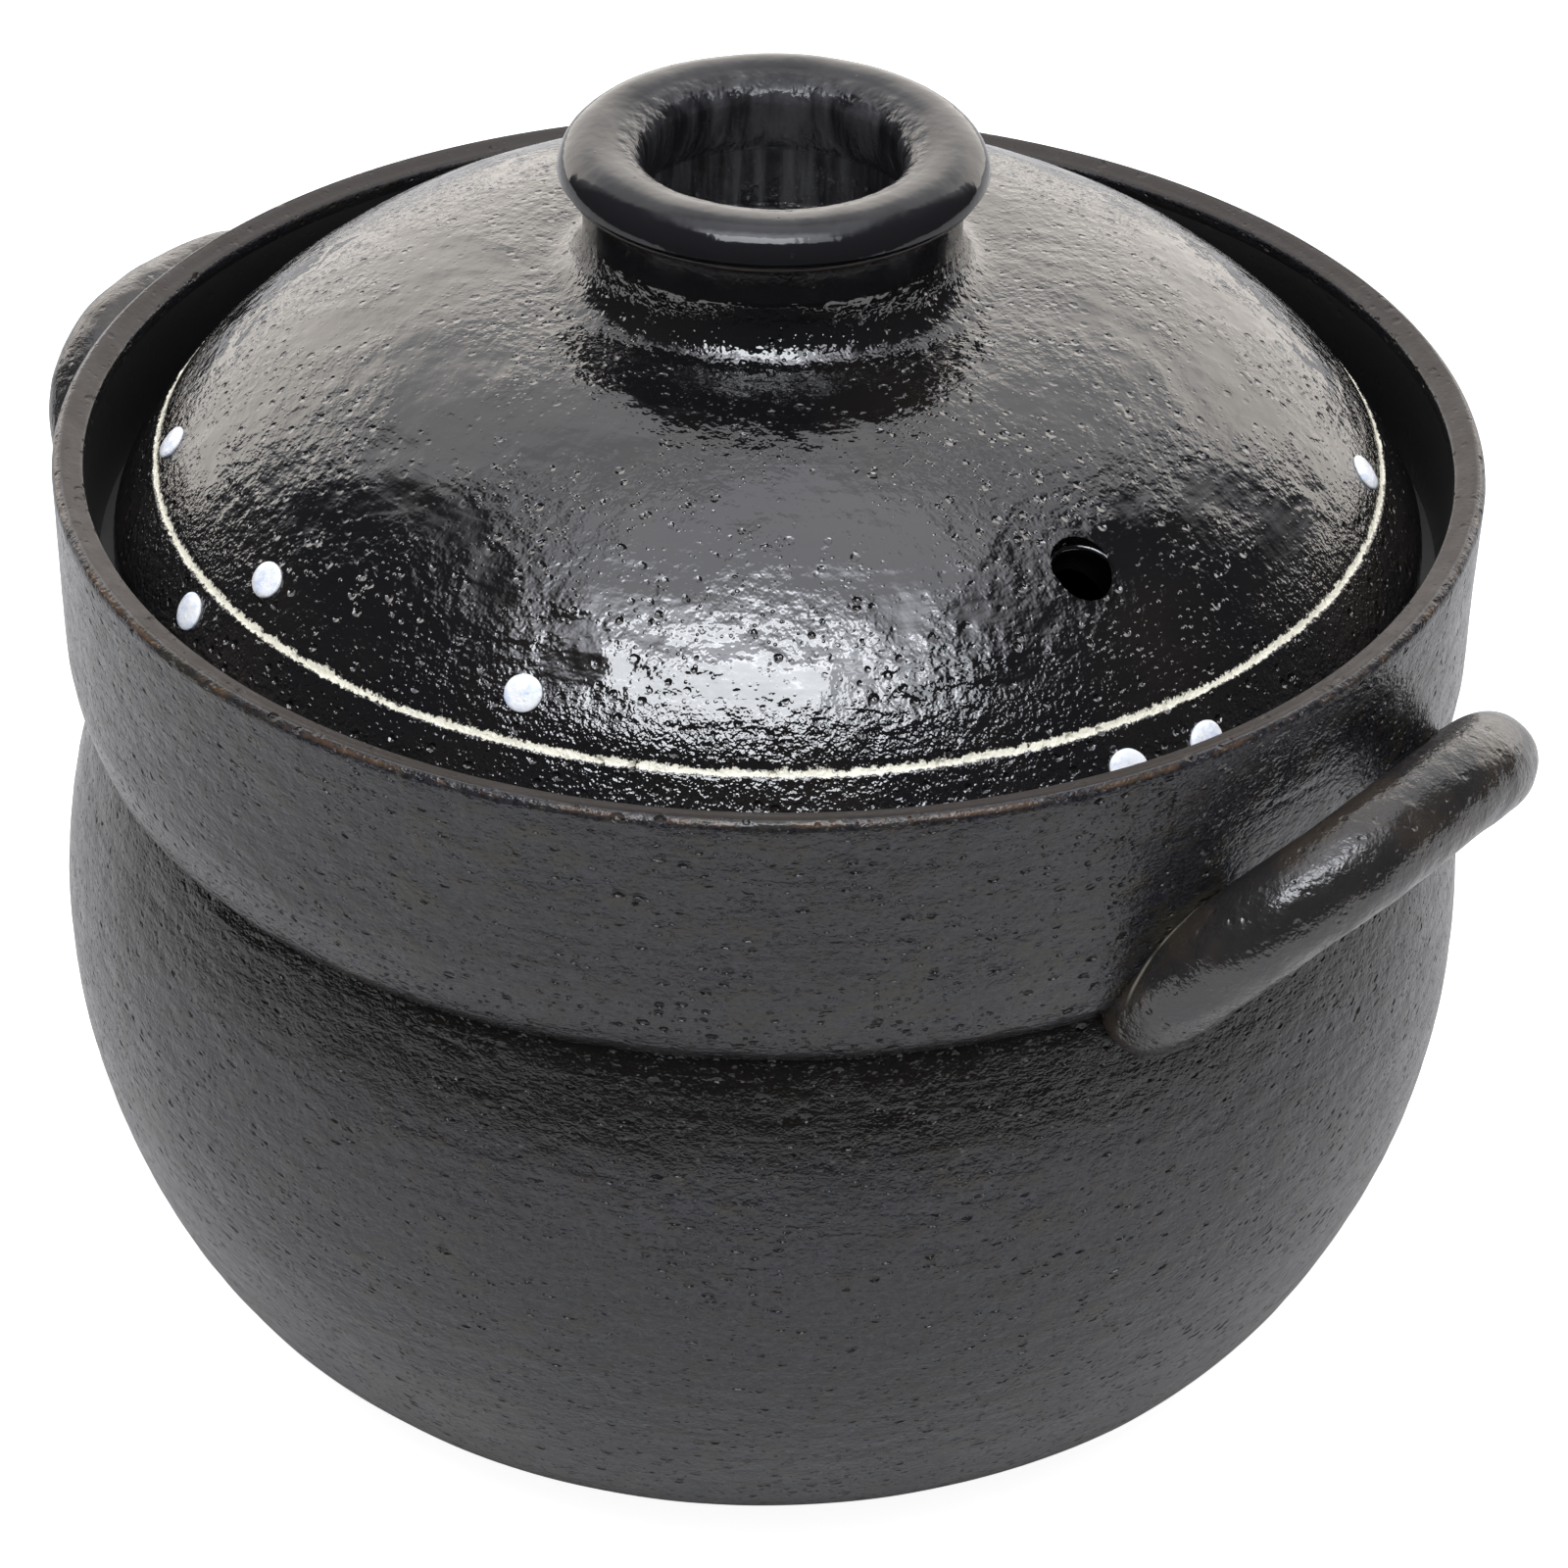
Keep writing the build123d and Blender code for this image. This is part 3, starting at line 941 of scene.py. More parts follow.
@dataclass
class PotShell:
    """Thrown pot with its collar, ledges, round belly and foot.

    A ripple is the depth and the pitch of throwing marks.
    """

    height: float = 138.0 * MM
    rim_radius: float = 100.0 * MM
    rim_round: float = 1.5 * MM
    rim_width: float = 4.3 * MM
    rim_fall: float = 0.8 * MM
    collar_bottom: float = 100.8 * MM
    roll_height: float = 10.8 * MM
    roll_depth: float = 2.0 * MM
    roll_edge: float = 0.5 * MM
    roll_fall: float = 0.3 * MM
    groove_height: float = 2.4 * MM
    groove_depth: float = 2.2 * MM
    foot_radius: float = 48.0 * MM
    wall: float = 6.4 * MM
    inner_radius: float = 94.5 * MM
    outer_ledge: float = 121.2 * MM
    inner_ledge: float = 105.5 * MM
    outer_ledge_inner: float = 89.3 * MM
    inner_ledge_inner: float = 82.7 * MM
    ledge_lip: float = 2.0 * MM
    belly_arcs: tuple[Point, ...] = ((70.4 * MM, 23.2), (29.85 * MM, 36.2), (91.7 * MM, 52.2))
    corner: float = 0.8 * MM
    belly_ripple: Point = (0.09 * MM, 4.7 * MM)
    collar_ripple: Point = (0.06 * MM, 3.3 * MM)
    skin_share: float = 0.4
    waver_grain: float = 24.0 * MM
    waver_depth: float = 0.45 * MM
    pitch: float = 1.6 * MM
    inside_pitch: float = 4.0 * MM
    disc_pitch: float = 12.0 * MM
    steps: int = 300

    def belly(self, inset: float, pitch: float) -> Outline:
        """Foot, hip and belly arcs, from the foot up.

        Args:
            inset: How far inside the pot's outside they run.
            pitch: Distance between points.

        Returns:
            The arcs.
        """
        outline = Outline([(self.foot_radius, inset)]).aim(0.0)
        for radius, turn in self.belly_arcs:
            outline.arc(radius - inset, math.radians(turn), pitch)
        return outline

    def section(self) -> Outline:
        """Draw the half section, from the middle of the foot up, over and down inside.

        Returns:
            The section.
        """
        outline = Outline([(0.0, 0.0)]).line(self.foot_radius, 0.0, self.disc_pitch)
        outline.points += self.belly(0.0, self.pitch).points[1:]
        edge = self.rim_radius - self.roll_depth
        groove_reach = edge - self.groove_depth
        groove = self.collar_bottom - self.groove_height
        outline.points[-1] = (groove_reach, groove)
        roll = self.roll_edge
        outline.line(edge - roll, self.collar_bottom - self.roll_fall, 0.7 * MM)
        outline.line(edge, self.collar_bottom + roll)
        turn = 2 * math.atan2(self.roll_depth, self.roll_height)
        outline.aim(QUARTER_TURN - turn)
        outline.arc(self.roll_height / math.sin(turn), turn, self.pitch / 2)
        outline.line(self.rim_radius, self.height - self.rim_round, self.pitch)
        outline.aim(QUARTER_TURN).arc(self.rim_round, QUARTER_TURN, self.rim_round / 4)
        inner, corner = self.rim_radius - self.rim_width, self.corner
        outline.line(inner + corner, self.height - self.rim_fall, corner)
        outline.aim(math.pi).arc(corner, QUARTER_TURN, corner / 4)
        outline.line(self.inner_radius, self.outer_ledge, self.pitch)
        outline.line(self.outer_ledge_inner, self.outer_ledge, self.inside_pitch)
        outline.line(self.outer_ledge_inner, self.inner_ledge, self.inside_pitch)
        outline.line(self.inner_ledge_inner, self.inner_ledge, self.inside_pitch)
        outline.line(self.inner_ledge_inner, self.inner_ledge - self.ledge_lip)
        outline.points += self.belly(self.wall, self.inside_pitch).points[::-1]
        return outline.line(0.0, self.wall, self.disc_pitch)

    def build(self, glaze: bpy.types.Material) -> bpy.types.Object:
        """Throw the pot and glaze it.

        Args:
            glaze: The pot's material.

        Returns:
            The finished piece.
        """
        outline = self.section()
        low, high, side = self.collar_bottom, self.height - 3 * MM, self.rim_radius - 8 * MM
        outline.ripple(*self.belly_ripple, 14 * MM, low - 6 * MM, self.foot_radius)
        outline.ripple(*self.collar_ripple, low, high, side)
        piece = Bench.turn("pot_shell", outline, self.steps)
        reaches: dict[float, float] = {}

        def on_skin(spot: Vector) -> bool:
            """Tell the outside of the wall from its inside.

            Args:
                spot: A vertex's place.

            Returns:
                Whether it lies on the outside.
            """
            height = round(spot.z, 6)
            if height not in reaches:
                reaches[height] = outline.reach_at(height)
            return reaches[height] - math.hypot(spot.x, spot.y) < self.skin_share * self.wall

        brim = self.height - 2 * MM
        Bench.mark(piece, "inside", [
            vertex.index for vertex in piece.data.vertices
            if vertex.co.z < brim and not on_skin(vertex.co)
        ])
        Bench.fade(piece, "outside", (MM, 8 * MM), (brim, 12 * MM), on_skin)
        Bench.waver(piece, self.waver_grain, self.waver_depth, "outside")
        return Bench.finish(piece, glaze, Body.POT, Slot.POT, "pot_body", "pot_collar")


@dataclass
class ArchHandle:
    """A coil of clay bent into an arch and pressed on at its two feet."""

    name: str
    node: str
    azimuth: float
    waver_grain: float
    half_width: float = 28.5 * MM
    reach: float = 31.7 * MM
    slope: float = math.radians(50.5)
    foot_reach: float = 91.4 * MM
    foot_height: float = 97.8 * MM
    squareness: float = 2.8
    rod: float = 7.3 * MM
    foot_thickness: float = 7.4 * MM
    foot_width: float = 9.8 * MM
    tip: float = 5.6 * MM
    tip_shares: tuple[float, ...] = (0.35, 0.6, 0.8, 0.92, 0.99)
    waver_depth: float = 0.7 * MM
    rings: int = 44
    sides: int = 32

    def stations(self) -> list[tuple[float, float, float, float, float]]:
        """Lay out the rings of the coil, from one tip to the other.

        Returns:
            Each ring's place out and sideways, heading, width and thickness.
        """
        power = 2 / self.squareness

        def arch(angle: float) -> Point:
            """Place on the arch, from 0 at one foot to half a turn at the other."""
            side = abs(math.cos(angle)) ** power * math.copysign(1.0, math.cos(angle))
            return (self.reach * abs(math.sin(angle)) ** power, -self.half_width * side)

        found, near = [], 0.03
        for index in range(self.rings + 1):
            angle = math.pi * index / self.rings
            before, after = arch(max(angle - near, 0.0)), arch(min(angle + near, math.pi))
            heading = math.atan2(after[1] - before[1], after[0] - before[0])
            swell = abs(math.cos(angle)) ** (2 * self.squareness)
            width = self.rod + (self.foot_width - self.rod) * swell
            thickness = self.rod + (self.foot_thickness - self.rod) * swell
            found.append((*arch(angle), heading, width, thickness))
        for end, way in ((0, -1), (-1, 1)):
            out, side, heading, width, thickness = found[end]
            for share in self.tip_shares:
                shrunk, go = math.sqrt(1 - share**2), way * self.tip * share
                tip = (
                    out + go * math.cos(heading), side + go * math.sin(heading),
                    heading, width * shrunk, thickness * shrunk,
                )
                found.insert(0, tip) if way < 0 else found.append(tip)
        return found

    def build(self, glaze: bpy.types.Material) -> bpy.types.Object:
        """Pull the coil ring by ring, then lean it and lute it on.

        Args:
            glaze: The handles' material.

        Returns:
            The finished piece.
        """
        stations = self.stations()
        out, side, heading, width, thickness = stations[0]
        piece = Bench.circle(self.name, self.sides, radius=1.0, rotation=(0, QUARTER_TURN, 0))
        bpy.ops.transform.resize(value=(width, width, thickness), center_override=(0, 0, 0))
        Bench.swing(heading, (0.0, 0.0, 0.0))
        bpy.ops.transform.translate(value=(out, side, 0.0))
        for here, there in zip(stations, stations[1:]):
            middle = (there[0], there[1], 0.0)
            move = (there[0] - here[0], there[1] - here[1], 0.0)
            bpy.ops.mesh.extrude_region_move(TRANSFORM_OT_translate={"value": move})
            Bench.swing(there[2] - here[2], middle)
            grow = there[3] / here[3]
            bpy.ops.transform.resize(value=(grow, grow, there[4] / here[4]), center_override=middle)
        bpy.ops.mesh.merge(type="CENTER")
        Bench.select(piece, range(self.sides))
        bpy.ops.mesh.merge(type="CENTER")
        Bench.close(piece)
        Bench.modify(piece, "SUBSURF", levels=1)
        Bench.waver(piece, self.waver_grain, self.waver_depth)
        for turn, place in (
            ((0.0, -self.slope, 0.0), (self.foot_reach, 0.0, self.foot_height)),
            ((0.0, 0.0, self.azimuth), (0.0, 0.0, 0.0)),
        ):
            Bench.pick(piece)
            piece.rotation_euler = turn
            piece.location = place
            Bench.settle()
        return Bench.finish(piece, glaze, Body.POT, Slot.HANDLE, self.node)


@dataclass
class Dome:
    """The curve that the outer lid's outside follows."""

    shoulder: float = 32.12 * MM
    curve: float = 68.39 * MM
    top: float = 162.45 * MM

    def place(self, reach: float, azimuth: float, lean_share: float = 1.0) -> Matrix:
        """Frame on the dome whose Z axis leaves the surface.

        Args:
            reach: Distance from the axis.
            azimuth: Direction in radians.
            lean_share: Lean of the Z axis, from 0, upright, to 1, square to the dome.

        Returns:
            The frame's matrix.
        """
        lean = math.asin((reach - self.shoulder) / self.curve)
        height = self.top - self.curve + self.curve * math.cos(lean)
        across = self.shoulder + self.curve * math.sin(lean)
        turn = Matrix.Rotation(azimuth, 4, "Z")
        leant = Matrix.Rotation(lean * lean_share, 4, "Y")
        return turn @ Matrix.Translation((across, 0, height)) @ leant


@dataclass
class DomeLid:
    """Thrown lid that flares up to the knob, scored with a ring and pierced once.

    A ripple is the depth and the pitch of throwing marks.
    """

    dome: Dome = field(default_factory=Dome)
    radius: float = 92.3 * MM
    seat: float = 121.2 * MM
    edge_round: float = 6.0 * MM
    wall: float = 5.0 * MM
    seat_width: float = 5.9 * MM
    neck: float = 26.02 * MM
    well: float = 19.92 * MM
    knob_seat: float = 170.65 * MM
    line_radius: float = 85.75 * MM
    line_width: float = 1.2 * MM
    line_depth: float = 0.3 * MM
    hole_radius: float = 4.0 * MM
    hole_reach: float = 71.2 * MM
    hole_azimuth: float = math.radians(-17.9)
    hole_round: float = 0.6 * MM
    hole_flare: float = math.radians(70)
    hole_lean_share: float = 0.4
    hole_steps: int = 64
    edge_flat: float = 0.8 * MM
    flare_ripple: Point = (-0.06 * MM, 2.9 * MM)
    dome_ripple: Point = (-0.05 * MM, 7.3 * MM)
    waver_grain: float = 14.0 * MM
    waver_depth: float = 0.30 * MM
    pitch: float = 1.3 * MM
    steps: int = 320

    def section(self) -> Outline:
        """Draw the half section, from the well out over the dome and back underneath.

        Returns:
            The section.
        """
        dome, flare = self.dome, self.dome.shoulder - self.neck
        outline = Outline([(0.0, dome.top)]).line(self.well, dome.top, 5 * MM)
        outline.line(self.well, self.knob_seat, 2 * MM)
        outline.line(self.neck, self.knob_seat, 2 * MM)
        outline.line(self.neck, dome.top + flare, self.pitch / 4)
        outline.aim(-QUARTER_TURN).arc(flare, QUARTER_TURN, self.pitch / 4)
        sweep = math.asin(
            (self.radius - dome.shoulder - self.edge_round) / (dome.curve - self.edge_round)
        )
        outline.arc(dome.curve, -sweep, self.pitch)
        outline.arc(self.edge_round, sweep - QUARTER_TURN, self.pitch / 2)
        outline.line(self.radius, self.seat + self.edge_flat, self.pitch)
        outline.line(self.radius - self.edge_flat, self.seat)
        seat_inner = self.radius - self.edge_flat - self.seat_width
        outline.line(seat_inner, self.seat, 3 * MM)
        under = Outline([(dome.shoulder, dome.top - self.wall)]).aim(0.0)
        inner = dome.curve - self.wall
        under.arc(inner, -math.asin((seat_inner - dome.shoulder) / inner), 3 * MM)
        outline.points += under.points[::-1]
        return outline.line(0.0, dome.top - self.wall, 6 * MM)

    def score(self, outline: Outline) -> None:
        """Press the ring line's shallow groove into the outline.

        Args:
            outline: The lid's section.
        """
        half = self.line_width / 2
        for index, (reach, height) in enumerate(outline.points):
            away = abs(reach - self.line_radius)
            if away < half and height > self.seat + 5 * MM:
                depth = self.line_depth * (1 - (away / half) ** 2)
                outline.points[index] = (reach, height - depth)

    def build(self, glaze: bpy.types.Material) -> bpy.types.Object:
        """Throw the lid, score it, pierce it and glaze it.

        Args:
            glaze: The lid's material.

        Returns:
            The finished piece.
        """
        outline = self.section()
        flare, brow = self.dome.top + 2 * MM, self.dome.top - 7 * MM
        outline.ripple(*self.flare_ripple, brow, flare, self.neck)
        outline.ripple(*self.dome_ripple, self.seat + 12 * MM, brow, 44 * MM)
        outline.refine(self.line_radius - MM, self.line_radius + MM, self.seat + 5 * MM, 6)
        self.score(outline)
        piece = Bench.turn("lid_dome_shell", outline, self.steps)
        foot, neck = self.seat + 2 * MM, self.knob_seat - 3 * MM
        Bench.fade(piece, "skin", (foot, 6 * MM), (neck, 8 * MM))
        Bench.waver(piece, self.waver_grain, self.waver_depth, "skin")
        self.pierce(piece)
        return Bench.finish(piece, glaze, Body.OUTER_LID, Slot.LID, "lid_dome")

    def pierce(self, piece: bpy.types.Object) -> None:
        """Punch the steam hole through the shell.

        Args:
            piece: The thrown lid.
        """
        hole = self.hole_radius
        punch = Outline([(0.0, -3 * self.wall)]).line(hole, -3 * self.wall)
        punch.line(hole, -0.5 * MM, 4 * MM)
        punch.aim(QUARTER_TURN).arc(self.hole_round, -self.hole_flare, self.hole_round / 4)
        reach, height = punch.points[-1]
        punch.line(reach + 0.4 * MM, height + 2 * MM).line(0.0, height + 2 * MM)
        cutter = Bench.turn("steam_punch", punch, self.hole_steps)
        cutter.matrix_world = self.dome.place(
            self.hole_reach, self.hole_azimuth, self.hole_lean_share
        )
        Bench.carve(piece, cutter)


@dataclass
class RingKnob:
    """Open ring knob with a rolled lip over an undercut neck."""

    top: float = 182.75 * MM
    seat: float = 170.65 * MM
    neck: float = 26.02 * MM
    well: float = 19.92 * MM
    lip: float = 29.52 * MM
    crest: float = 24.6 * MM
    mouth: float = 17.67 * MM
    lip_rise: float = 4.6 * MM
    lip_drop: float = 1.5 * MM
    mouth_drop: float = 4.2 * MM
    throat: float = 7.8 * MM
    skirt_rise: float = 0.8 * MM
    skirt_edge: float = 1.1 * MM
    edge_round: float = 0.45 * MM
    edge_heading: float = math.radians(40)
    edge_turn: float = math.radians(65)
    waver_grain: float = 10.0 * MM
    waver_depth: float = 0.28 * MM
    lip_steps: int = 14
    steps: int = 240

    def section(self) -> Outline:
        """Draw the closed half section, from the neck out, over and down inside.

        Returns:
            The section.
        """
        middle = self.top - self.lip_rise
        skirt = middle - self.lip_drop
        outline = Outline([(self.neck, self.seat)])
        outline.line(self.neck, skirt - self.skirt_rise, 0.3 * MM)
        outline.line(self.lip - self.skirt_edge, skirt, 0.7 * MM)
        outline.aim(self.edge_heading).arc(self.edge_round, self.edge_turn, 0.12 * MM)
        outline.line(self.lip, middle, 0.5 * MM)
        inside = self.top - self.mouth_drop
        for start, high, wide, drop in (
            (0.0, middle, self.lip - self.crest, self.lip_rise),
            (QUARTER_TURN, inside, self.crest - self.mouth, self.mouth_drop),
        ):
            for index in range(1, self.lip_steps + 1):
                angle = start + QUARTER_TURN * index / self.lip_steps
                outline.points.append(
                    (self.crest + wide * math.cos(angle), high + drop * math.sin(angle))
                )
        turn = 2 * math.atan2(self.well - self.mouth, self.throat)
        outline.aim(-QUARTER_TURN).arc(self.throat / math.sin(turn), turn, 0.8 * MM)
        return outline.line(self.well, self.seat, 1.5 * MM).line(self.neck, self.seat, 2 * MM)

    def build(self, glaze: bpy.types.Material) -> bpy.types.Object:
        """Throw the ring and glaze it.

        Args:
            glaze: The knob's material.

        Returns:
            The finished piece.
        """
        piece = Bench.turn("ring_knob", self.section(), self.steps)
        skirt = self.top - self.lip_rise - self.lip_drop
        Bench.fade(piece, "lip", (skirt, 3 * MM), (self.top + MM, MM))
        Bench.waver(piece, self.waver_grain, self.waver_depth, "lip")
        return Bench.finish(piece, glaze, Body.OUTER_LID, Slot.KNOB, "lid_knob")


@dataclass
class SlipDots:
    """Seven drops of thick white slip, no two alike."""

    dome: Dome = field(default_factory=Dome)
    radius: float = 2.75 * MM
    rise: float = 0.66 * MM
    root: float = 0.5 * MM
    root_share: float = 0.96
    side_power: float = 0.75
    rise_power: float = 0.9
    waver_grain: float = 2.1 * MM
    waver_depth: float = 0.16 * MM
    rings: int = 12
    steps: int = 40
    places: tuple[Point, ...] = (
        (83.4, -135.6), (82.0, -106.1), (88.6, -113.1), (81.8, -74.8),
        (89.4, -21.3), (89.6, -13.2), (83.4, 28.0),
    )

    def build(self, slip: bpy.types.Material) -> bpy.types.Object:
        """Drop the slip on the dome.

        Args:
            slip: The dots' material.

        Returns:
            The finished piece, all drops in one mesh.
        """
        chance = random.Random(7)
        drops = []
        for number, (reach, azimuth) in enumerate(self.places):
            outline = Outline([(0.0, -self.root)])
            outline.line(self.radius * self.root_share, -self.root, 0.8 * MM)
            outline.line(self.radius, 0.0, 0.3 * MM)
            for index in range(1, self.rings + 1):
                angle = QUARTER_TURN * index / self.rings
                side = math.cos(angle) ** self.side_power
                rise = math.sin(angle) ** self.rise_power
                outline.points.append((self.radius * side, self.rise * rise))
            drop = Bench.turn(f"slip_drop_{number}", outline, self.steps)
            drop.scale = (chance.uniform(0.90, 1.0), chance.uniform(0.96, 1.1), 1.0)
            Bench.settle()
            spot = self.dome.place(reach * MM, math.radians(azimuth))
            drop.matrix_world = spot @ Matrix.Rotation(chance.uniform(-0.6, 0.6), 4, "Z")
            Bench.settle()
            Bench.waver(drop, self.waver_grain, self.waver_depth)
            drops.append(drop)
        Bench.clear()
        for drop in drops:
            drop.select_set(True)
        bpy.context.view_layer.objects.active = drops[0]
        bpy.ops.object.join()
        piece = bpy.context.object
        piece.name = piece.data.name = "slip_drops"
        return Bench.finish(piece, slip, Body.OUTER_LID, Slot.SLIP, "lid_slip_dots")


@dataclass
class InnerLid:
    """Flat disc with two vents and a button knob."""

    radius: float = 88.1 * MM
    bottom: float = 105.5 * MM
    thickness: float = 6.0 * MM
    edge_round: float = 1.6 * MM
    vent_radius: float = 4.0 * MM
    vent_place: float = 44.05 * MM
    knob_radius: float = 14.0 * MM
    knob_height: float = 16.0 * MM
    knob_neck: float = 8.5 * MM
    knob_foot: float = 11.0 * MM
    foot_height: float = 2.2 * MM
    foot_round: float = 0.6 * MM
    neck_height: float = 4.8 * MM
    neck_hollow: float = 0.8 * MM
    pitch: float = 0.6 * MM
    disc_steps: int = 200
    knob_steps: int = 120
    vent_steps: int = 48

    def build_disc(self, glaze: bpy.types.Material) -> bpy.types.Object:
        """Throw the disc, round its edges and pierce its vents.

        Args:
            glaze: The inner lid's material.

        Returns:
            The finished disc.
        """
        top, edge = self.bottom + self.thickness, self.edge_round
        outline = Outline([(0.0, self.bottom)]).line(self.radius - edge, self.bottom, 5 * MM)
        outline.aim(0.0).arc(edge, QUARTER_TURN, edge / 4).line(self.radius, top - edge, MM)
        outline.arc(edge, QUARTER_TURN, edge / 4).line(0.0, top, 4 * MM)
        outline.ripple(0.06 * MM, 5 * MM, top - 0.1 * MM, top + MM, 0.0)
        piece = Bench.turn("inner_lid_disc", outline, self.disc_steps)
        for side in (-1, 1):
            punch = Outline([(0.0, -MM)]).line(self.vent_radius, -MM)
            punch.line(self.vent_radius, self.thickness + MM).line(0.0, self.thickness + MM)
            cutter = Bench.turn("vent_punch", punch, self.vent_steps)
            cutter.location = (0.0, side * self.vent_place, self.bottom)
            Bench.carve(piece, cutter)
        return Bench.finish(piece, glaze, Body.INNER_LID, Slot.INNER, "inner_lid")

    def build_knob(self, glaze: bpy.types.Material) -> bpy.types.Object:
        """Throw the button knob.

        Args:
            glaze: The inner lid's material.

        Returns:
            The finished knob.
        """
        base = self.bottom + self.thickness
        foot, top = base + self.foot_height, base + self.knob_height
        low, edge = foot + self.neck_height, self.foot_round
        neck, middle = self.knob_neck + self.neck_hollow, (low + top) / 2
        outline = Outline([(0.0, base)]).line(self.knob_foot, base, 4 * MM)
        outline.line(self.knob_foot, foot - edge, 0.8 * MM)
        outline.aim(QUARTER_TURN).arc(edge, QUARTER_TURN, edge / 3).line(neck, foot, MM)
        bulge = 2 * math.atan2(self.neck_hollow, self.neck_height / 2)
        hollow = self.neck_height / 2 / math.sin(bulge)
        outline.aim(QUARTER_TURN + bulge).arc(hollow, -2 * bulge, self.pitch)
        turn = 2 * math.atan2(self.knob_radius - neck, middle - low)
        outline.aim(QUARTER_TURN - turn).arc((middle - low) / math.sin(turn), turn, self.pitch)
        outline.aim(QUARTER_TURN).arc(top - middle, QUARTER_TURN, self.pitch)
        outline.line(0.0, top, 2 * MM)
        piece = Bench.turn("inner_lid_button", outline, self.knob_steps)
        return Bench.finish(piece, glaze, Body.INNER_LID, Slot.INNER, "inner_lid_knob")


@dataclass(frozen=True)
class Panel:
    """A flat lamp in a plane that faces the pot, with its edges as slopes from the middle.

    A glow of 1 is that of white paper.
    """

    name: str
    across: Point
    above: Point
    glow: float
    colour: Colour
    distance: float = 1.5
    mirrored: bool = True


@dataclass
class Studio:
    """Floor, surroundings, lamps and the camera of the photograph."""

    turn: float = math.radians(37.0)
    pitch: float = math.radians(33.79)
    roll: float = math.radians(1.03)
    distance: float = 0.700
    aim_side: float = 2.9 * MM
    aim_height: float = 77.1 * MM
    focal_pixels: float = 4843.0
    frame_pixels: float = 1600.0
    sensor: float = 36.0
    floor_width: float = 3.0
    floor_front: float = 0.45
    floor_back: float = 1.6
    floor_grey: Colour = (0.70, 0.70, 0.70)
    floor_glow: float = 0.9
    white: Colour = (1.0, 1.0, 1.0)
    sweep_colour: Colour = (1.95, 1.84, 1.73)
    sweep_half: float = math.radians(51)
    sweep_soft: float = 0.015
    sweep_top: Point = (math.radians(22), math.radians(44))
    ceiling_colour: Colour = (1.25, 1.26, 1.34)
    ceiling_edge: Point = (math.radians(50), math.radians(72))
    room_colour: Colour = (0.035, 0.035, 0.038)
    wall_colour: Colour = (0.95, 0.95, 0.98)
    wall_edge: Point = (math.radians(45), math.radians(66))
    halo_colour: Colour = (4.2, 4.3, 4.7)
    halo_share: float = 0.7
    halo_shift: float = 0.06
    halo_side: Point = (0.26, 0.62)
    halo_foot: Point = (0.14, 0.22)
    halo_top: Point = (0.22, 0.60)
    halo_front: Point = (0.2, 0.4)
    panel_height: float = math.radians(59)
    panels: tuple[Panel, ...] = (
        Panel("softbox", (-0.36, 0.20), (-0.11, 0.19), 6.0, (0.93, 0.96, 1.0)),
        Panel("softbox_side", (0.20, 0.50), (-0.09, 0.18), 2.4, (0.90, 0.94, 1.0)),
        Panel("fill", (-0.9, 0.9), (-0.6, 0.9), 0.95, (1.0, 1.0, 1.0), 1.8, False),
    )

    def towards(self, azimuth: float, elevation: float) -> Vector:
        """Direction as seen from the pot.

        Args:
            azimuth: 0 away from the camera, positive to its right, in radians.
            elevation: Above the horizon, in radians.

        Returns:
            A unit vector.
        """
        flat = Vector((math.sin(azimuth), math.cos(azimuth), 0)) * math.cos(elevation)
        direction = Vector((flat.x, flat.y, math.sin(elevation)))
        return Matrix.Rotation(self.turn, 3, "Z") @ direction

    def add_camera(self) -> None:
        """Set the camera to the photograph's view."""
        data = bpy.data.cameras.new("camera")
        data.sensor_width = self.sensor
        data.lens = self.focal_pixels * self.sensor / self.frame_pixels
        camera = bpy.data.objects.new("camera", data)
        bpy.context.scene.collection.objects.link(camera)
        back = self.towards(math.pi, self.pitch)
        side = self.towards(QUARTER_TURN, 0)
        target = side * self.aim_side + Vector((0, 0, self.aim_height))
        upright = back.cross(side)
        turned = Matrix((side, upright, back)).transposed()
        turned = Matrix.Rotation(self.roll, 3, back) @ turned
        camera.matrix_world = Matrix.Translation(target + back * self.distance) @ turned.to_4x4()
        bpy.context.scene.camera = camera

    def add_floor(self) -> None:
        """Lay a pale table top that keeps the pot's shadow and ends before the camera."""
        Bench.clear()
        middle = self.towards(0, 0) * ((self.floor_back - self.floor_front) / 2)
        bpy.ops.mesh.primitive_plane_add(size=1.0, location=middle, rotation=(0, 0, self.turn))
        floor = bpy.context.object
        floor.name = "floor"
        floor.scale = (self.floor_width, self.floor_back + self.floor_front, 1.0)
        Bench.settle()
        material = bpy.data.materials.new("floor")
        tree = Tree(material)
        paper = tree.add_node("ShaderNodeBsdfDiffuse", {}, {"Color": self.floor_grey})
        glow = tree.add_node(
            "ShaderNodeEmission", {}, {"Color": self.white, "Strength": self.floor_glow}
        )
        both = tree.add_node(
            "ShaderNodeAddShader", {}, {0: paper.outputs[0], 1: glow.outputs[0]}
        )
        seen = tree.add("ShaderNodeLightPath", {}, {}, "Is Camera Ray")
        choice = tree.add_node(
            "ShaderNodeMixShader", {}, {0: seen, 1: paper.outputs[0], 2: both.outputs[0]}
        )
        tree.finish(choice.outputs[0])
        Bench.dress(floor, material)

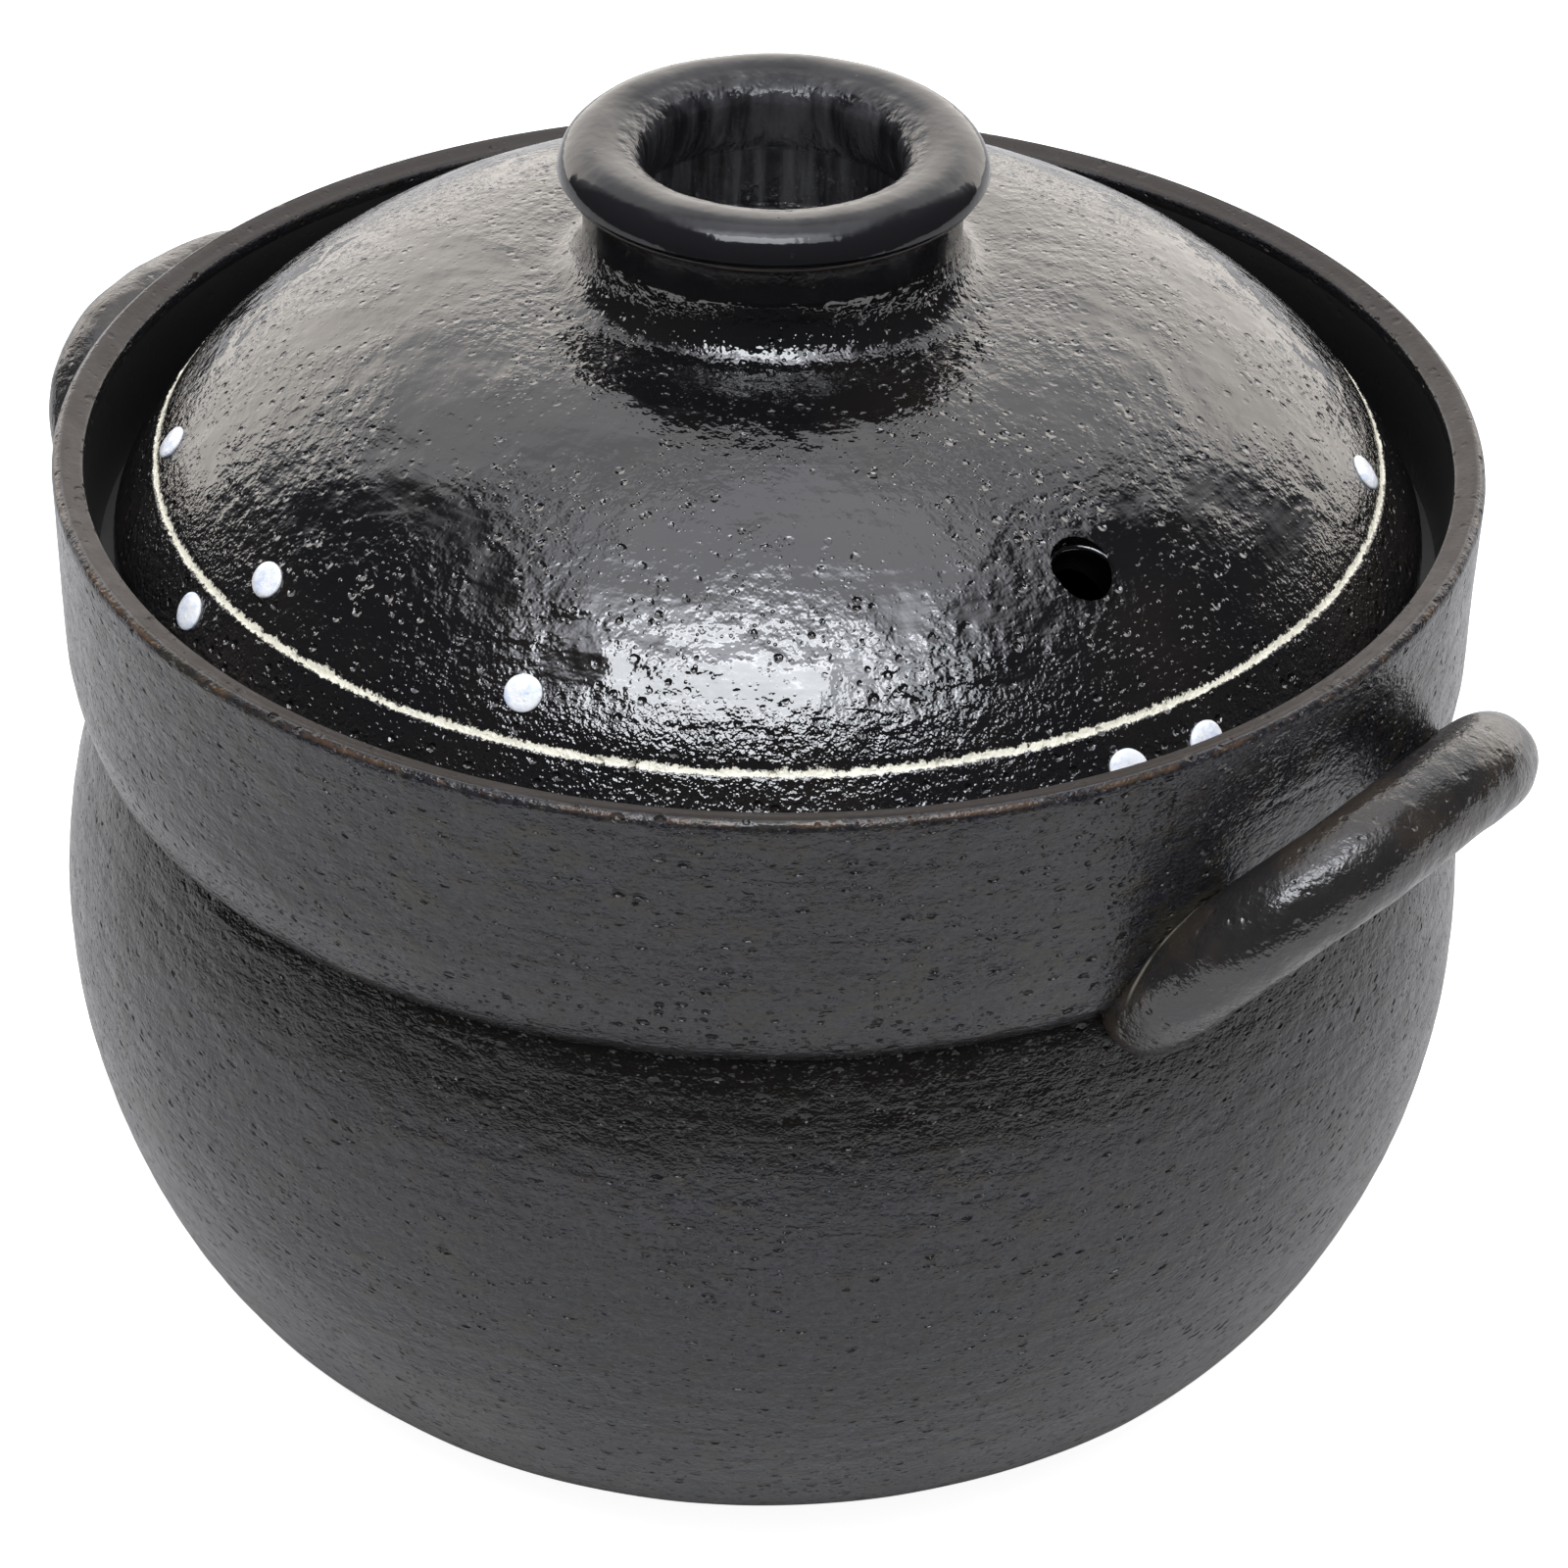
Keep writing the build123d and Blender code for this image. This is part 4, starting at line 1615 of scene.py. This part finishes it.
    def add_surroundings(self) -> None:
        """Paint what the lid mirrors: a paper sweep, a pale ceiling and a dark room."""
        world = bpy.data.worlds.new("studio")
        bpy.context.scene.world = world
        tree = Tree(world)
        look = tree.add("ShaderNodeTexCoord", {}, {}, "Generated")
        turned = tree.add(
            "ShaderNodeMapping", {"vector_type": "POINT"},
            {"Vector": look, "Rotation": (0.0, 0.0, -self.turn)},
        )
        parts = tree.add_node("ShaderNodeSeparateXYZ", {}, {"Vector": turned})
        x, y, z = (Value(tree, parts.outputs[axis]) for axis in "XYZ")
        azimuth = x.maths("ARCTAN2", y).size()
        height = z.maths("ARCSINE")
        half, soft = self.sweep_half, self.sweep_soft
        sweep = 1 - azimuth.ramp(half - soft, half + soft)
        sweep = sweep * (1 - height.ramp(*self.sweep_top))
        ceiling = height.ramp(*self.ceiling_edge)
        room = tree.blend(ceiling, self.room_colour, self.ceiling_colour)
        wall = (1 - azimuth.ramp(*self.wall_edge)) * height.ramp(0.0, 0.5)
        room = tree.blend(wall * (1 - ceiling), room, self.wall_colour)
        low, high = math.cos(self.panel_height), math.sin(self.panel_height)
        facing = z * high - y * low
        across = (x / facing + self.halo_shift).size()
        above = (y * high + z * low) / facing
        halo = (1 - across.ramp(*self.halo_side)) * above.ramp(*self.halo_foot)
        halo = halo * (1 - above.ramp(*self.halo_top))
        halo = halo * facing.ramp(*self.halo_front) * self.halo_share
        room = tree.blend(halo, room, self.halo_colour)
        colour = tree.blend(sweep, room, self.sweep_colour)
        seen = tree.add("ShaderNodeLightPath", {}, {}, "Is Camera Ray")
        colour = tree.blend(seen, colour, self.white)
        shader = tree.add_node("ShaderNodeBackground", {}, {"Color": colour, "Strength": 1.0})
        tree.add_node("ShaderNodeOutputWorld", {}, {"Surface": shader.outputs[0]})

    def add_panel(self, panel: Panel) -> None:
        """Hang one lamp in the softbox's plane.

        Args:
            panel: The lamp's edges, glow and distance.
        """
        width, tall = ((high - low) * panel.distance for low, high in (panel.across, panel.above))
        data = bpy.data.lights.new(panel.name, "AREA")
        data.shape = "RECTANGLE"
        data.size, data.size_y = width, tall
        data.energy = panel.glow * math.pi * width * tall
        data.color = panel.colour
        lamp = bpy.data.objects.new(panel.name, data)
        bpy.context.scene.collection.objects.link(lamp)
        away = self.towards(math.pi, self.panel_height)
        side = self.towards(QUARTER_TURN, 0)
        upward = side.cross(away) * -1.0
        place = away + side * (sum(panel.across) / 2) + upward * (sum(panel.above) / 2)
        turned = Matrix((side, upward, side.cross(upward))).transposed().to_4x4()
        middle = Vector((0, 0, self.aim_height)) + place * panel.distance
        lamp.matrix_world = Matrix.Translation(middle) @ turned
        lamp.visible_glossy = panel.mirrored

    def build(self) -> None:
        """Set up everything that isn't the pot."""
        self.add_camera()
        self.add_floor()
        self.add_surroundings()
        for panel in self.panels:
            self.add_panel(panel)
        bpy.context.scene.view_settings.view_transform = "Standard"


def main() -> None:
    """Build the studio and the pot, piece by piece, from the foot up."""
    logging.basicConfig(level=logging.INFO, format="%(name)s: %(message)s")
    Studio().build()
    PotShell().build(PotGlaze().build())
    clay = HandleGlaze().build()
    ArchHandle("arch_right", "handle_right", math.radians(-2.7), 9 * MM).build(clay)
    ArchHandle("arch_left", "handle_left", math.radians(182.7), 10 * MM).build(clay)
    inner = InnerGlaze().build()
    InnerLid().build_disc(inner)
    InnerLid().build_knob(inner)
    DomeLid().build(LidGlaze().build())
    SlipDots().build(SlipGlaze().build())
    RingKnob().build(KnobGlaze().build())
    LOG.info("boxes written")


if __name__ == "__main__":
    main()
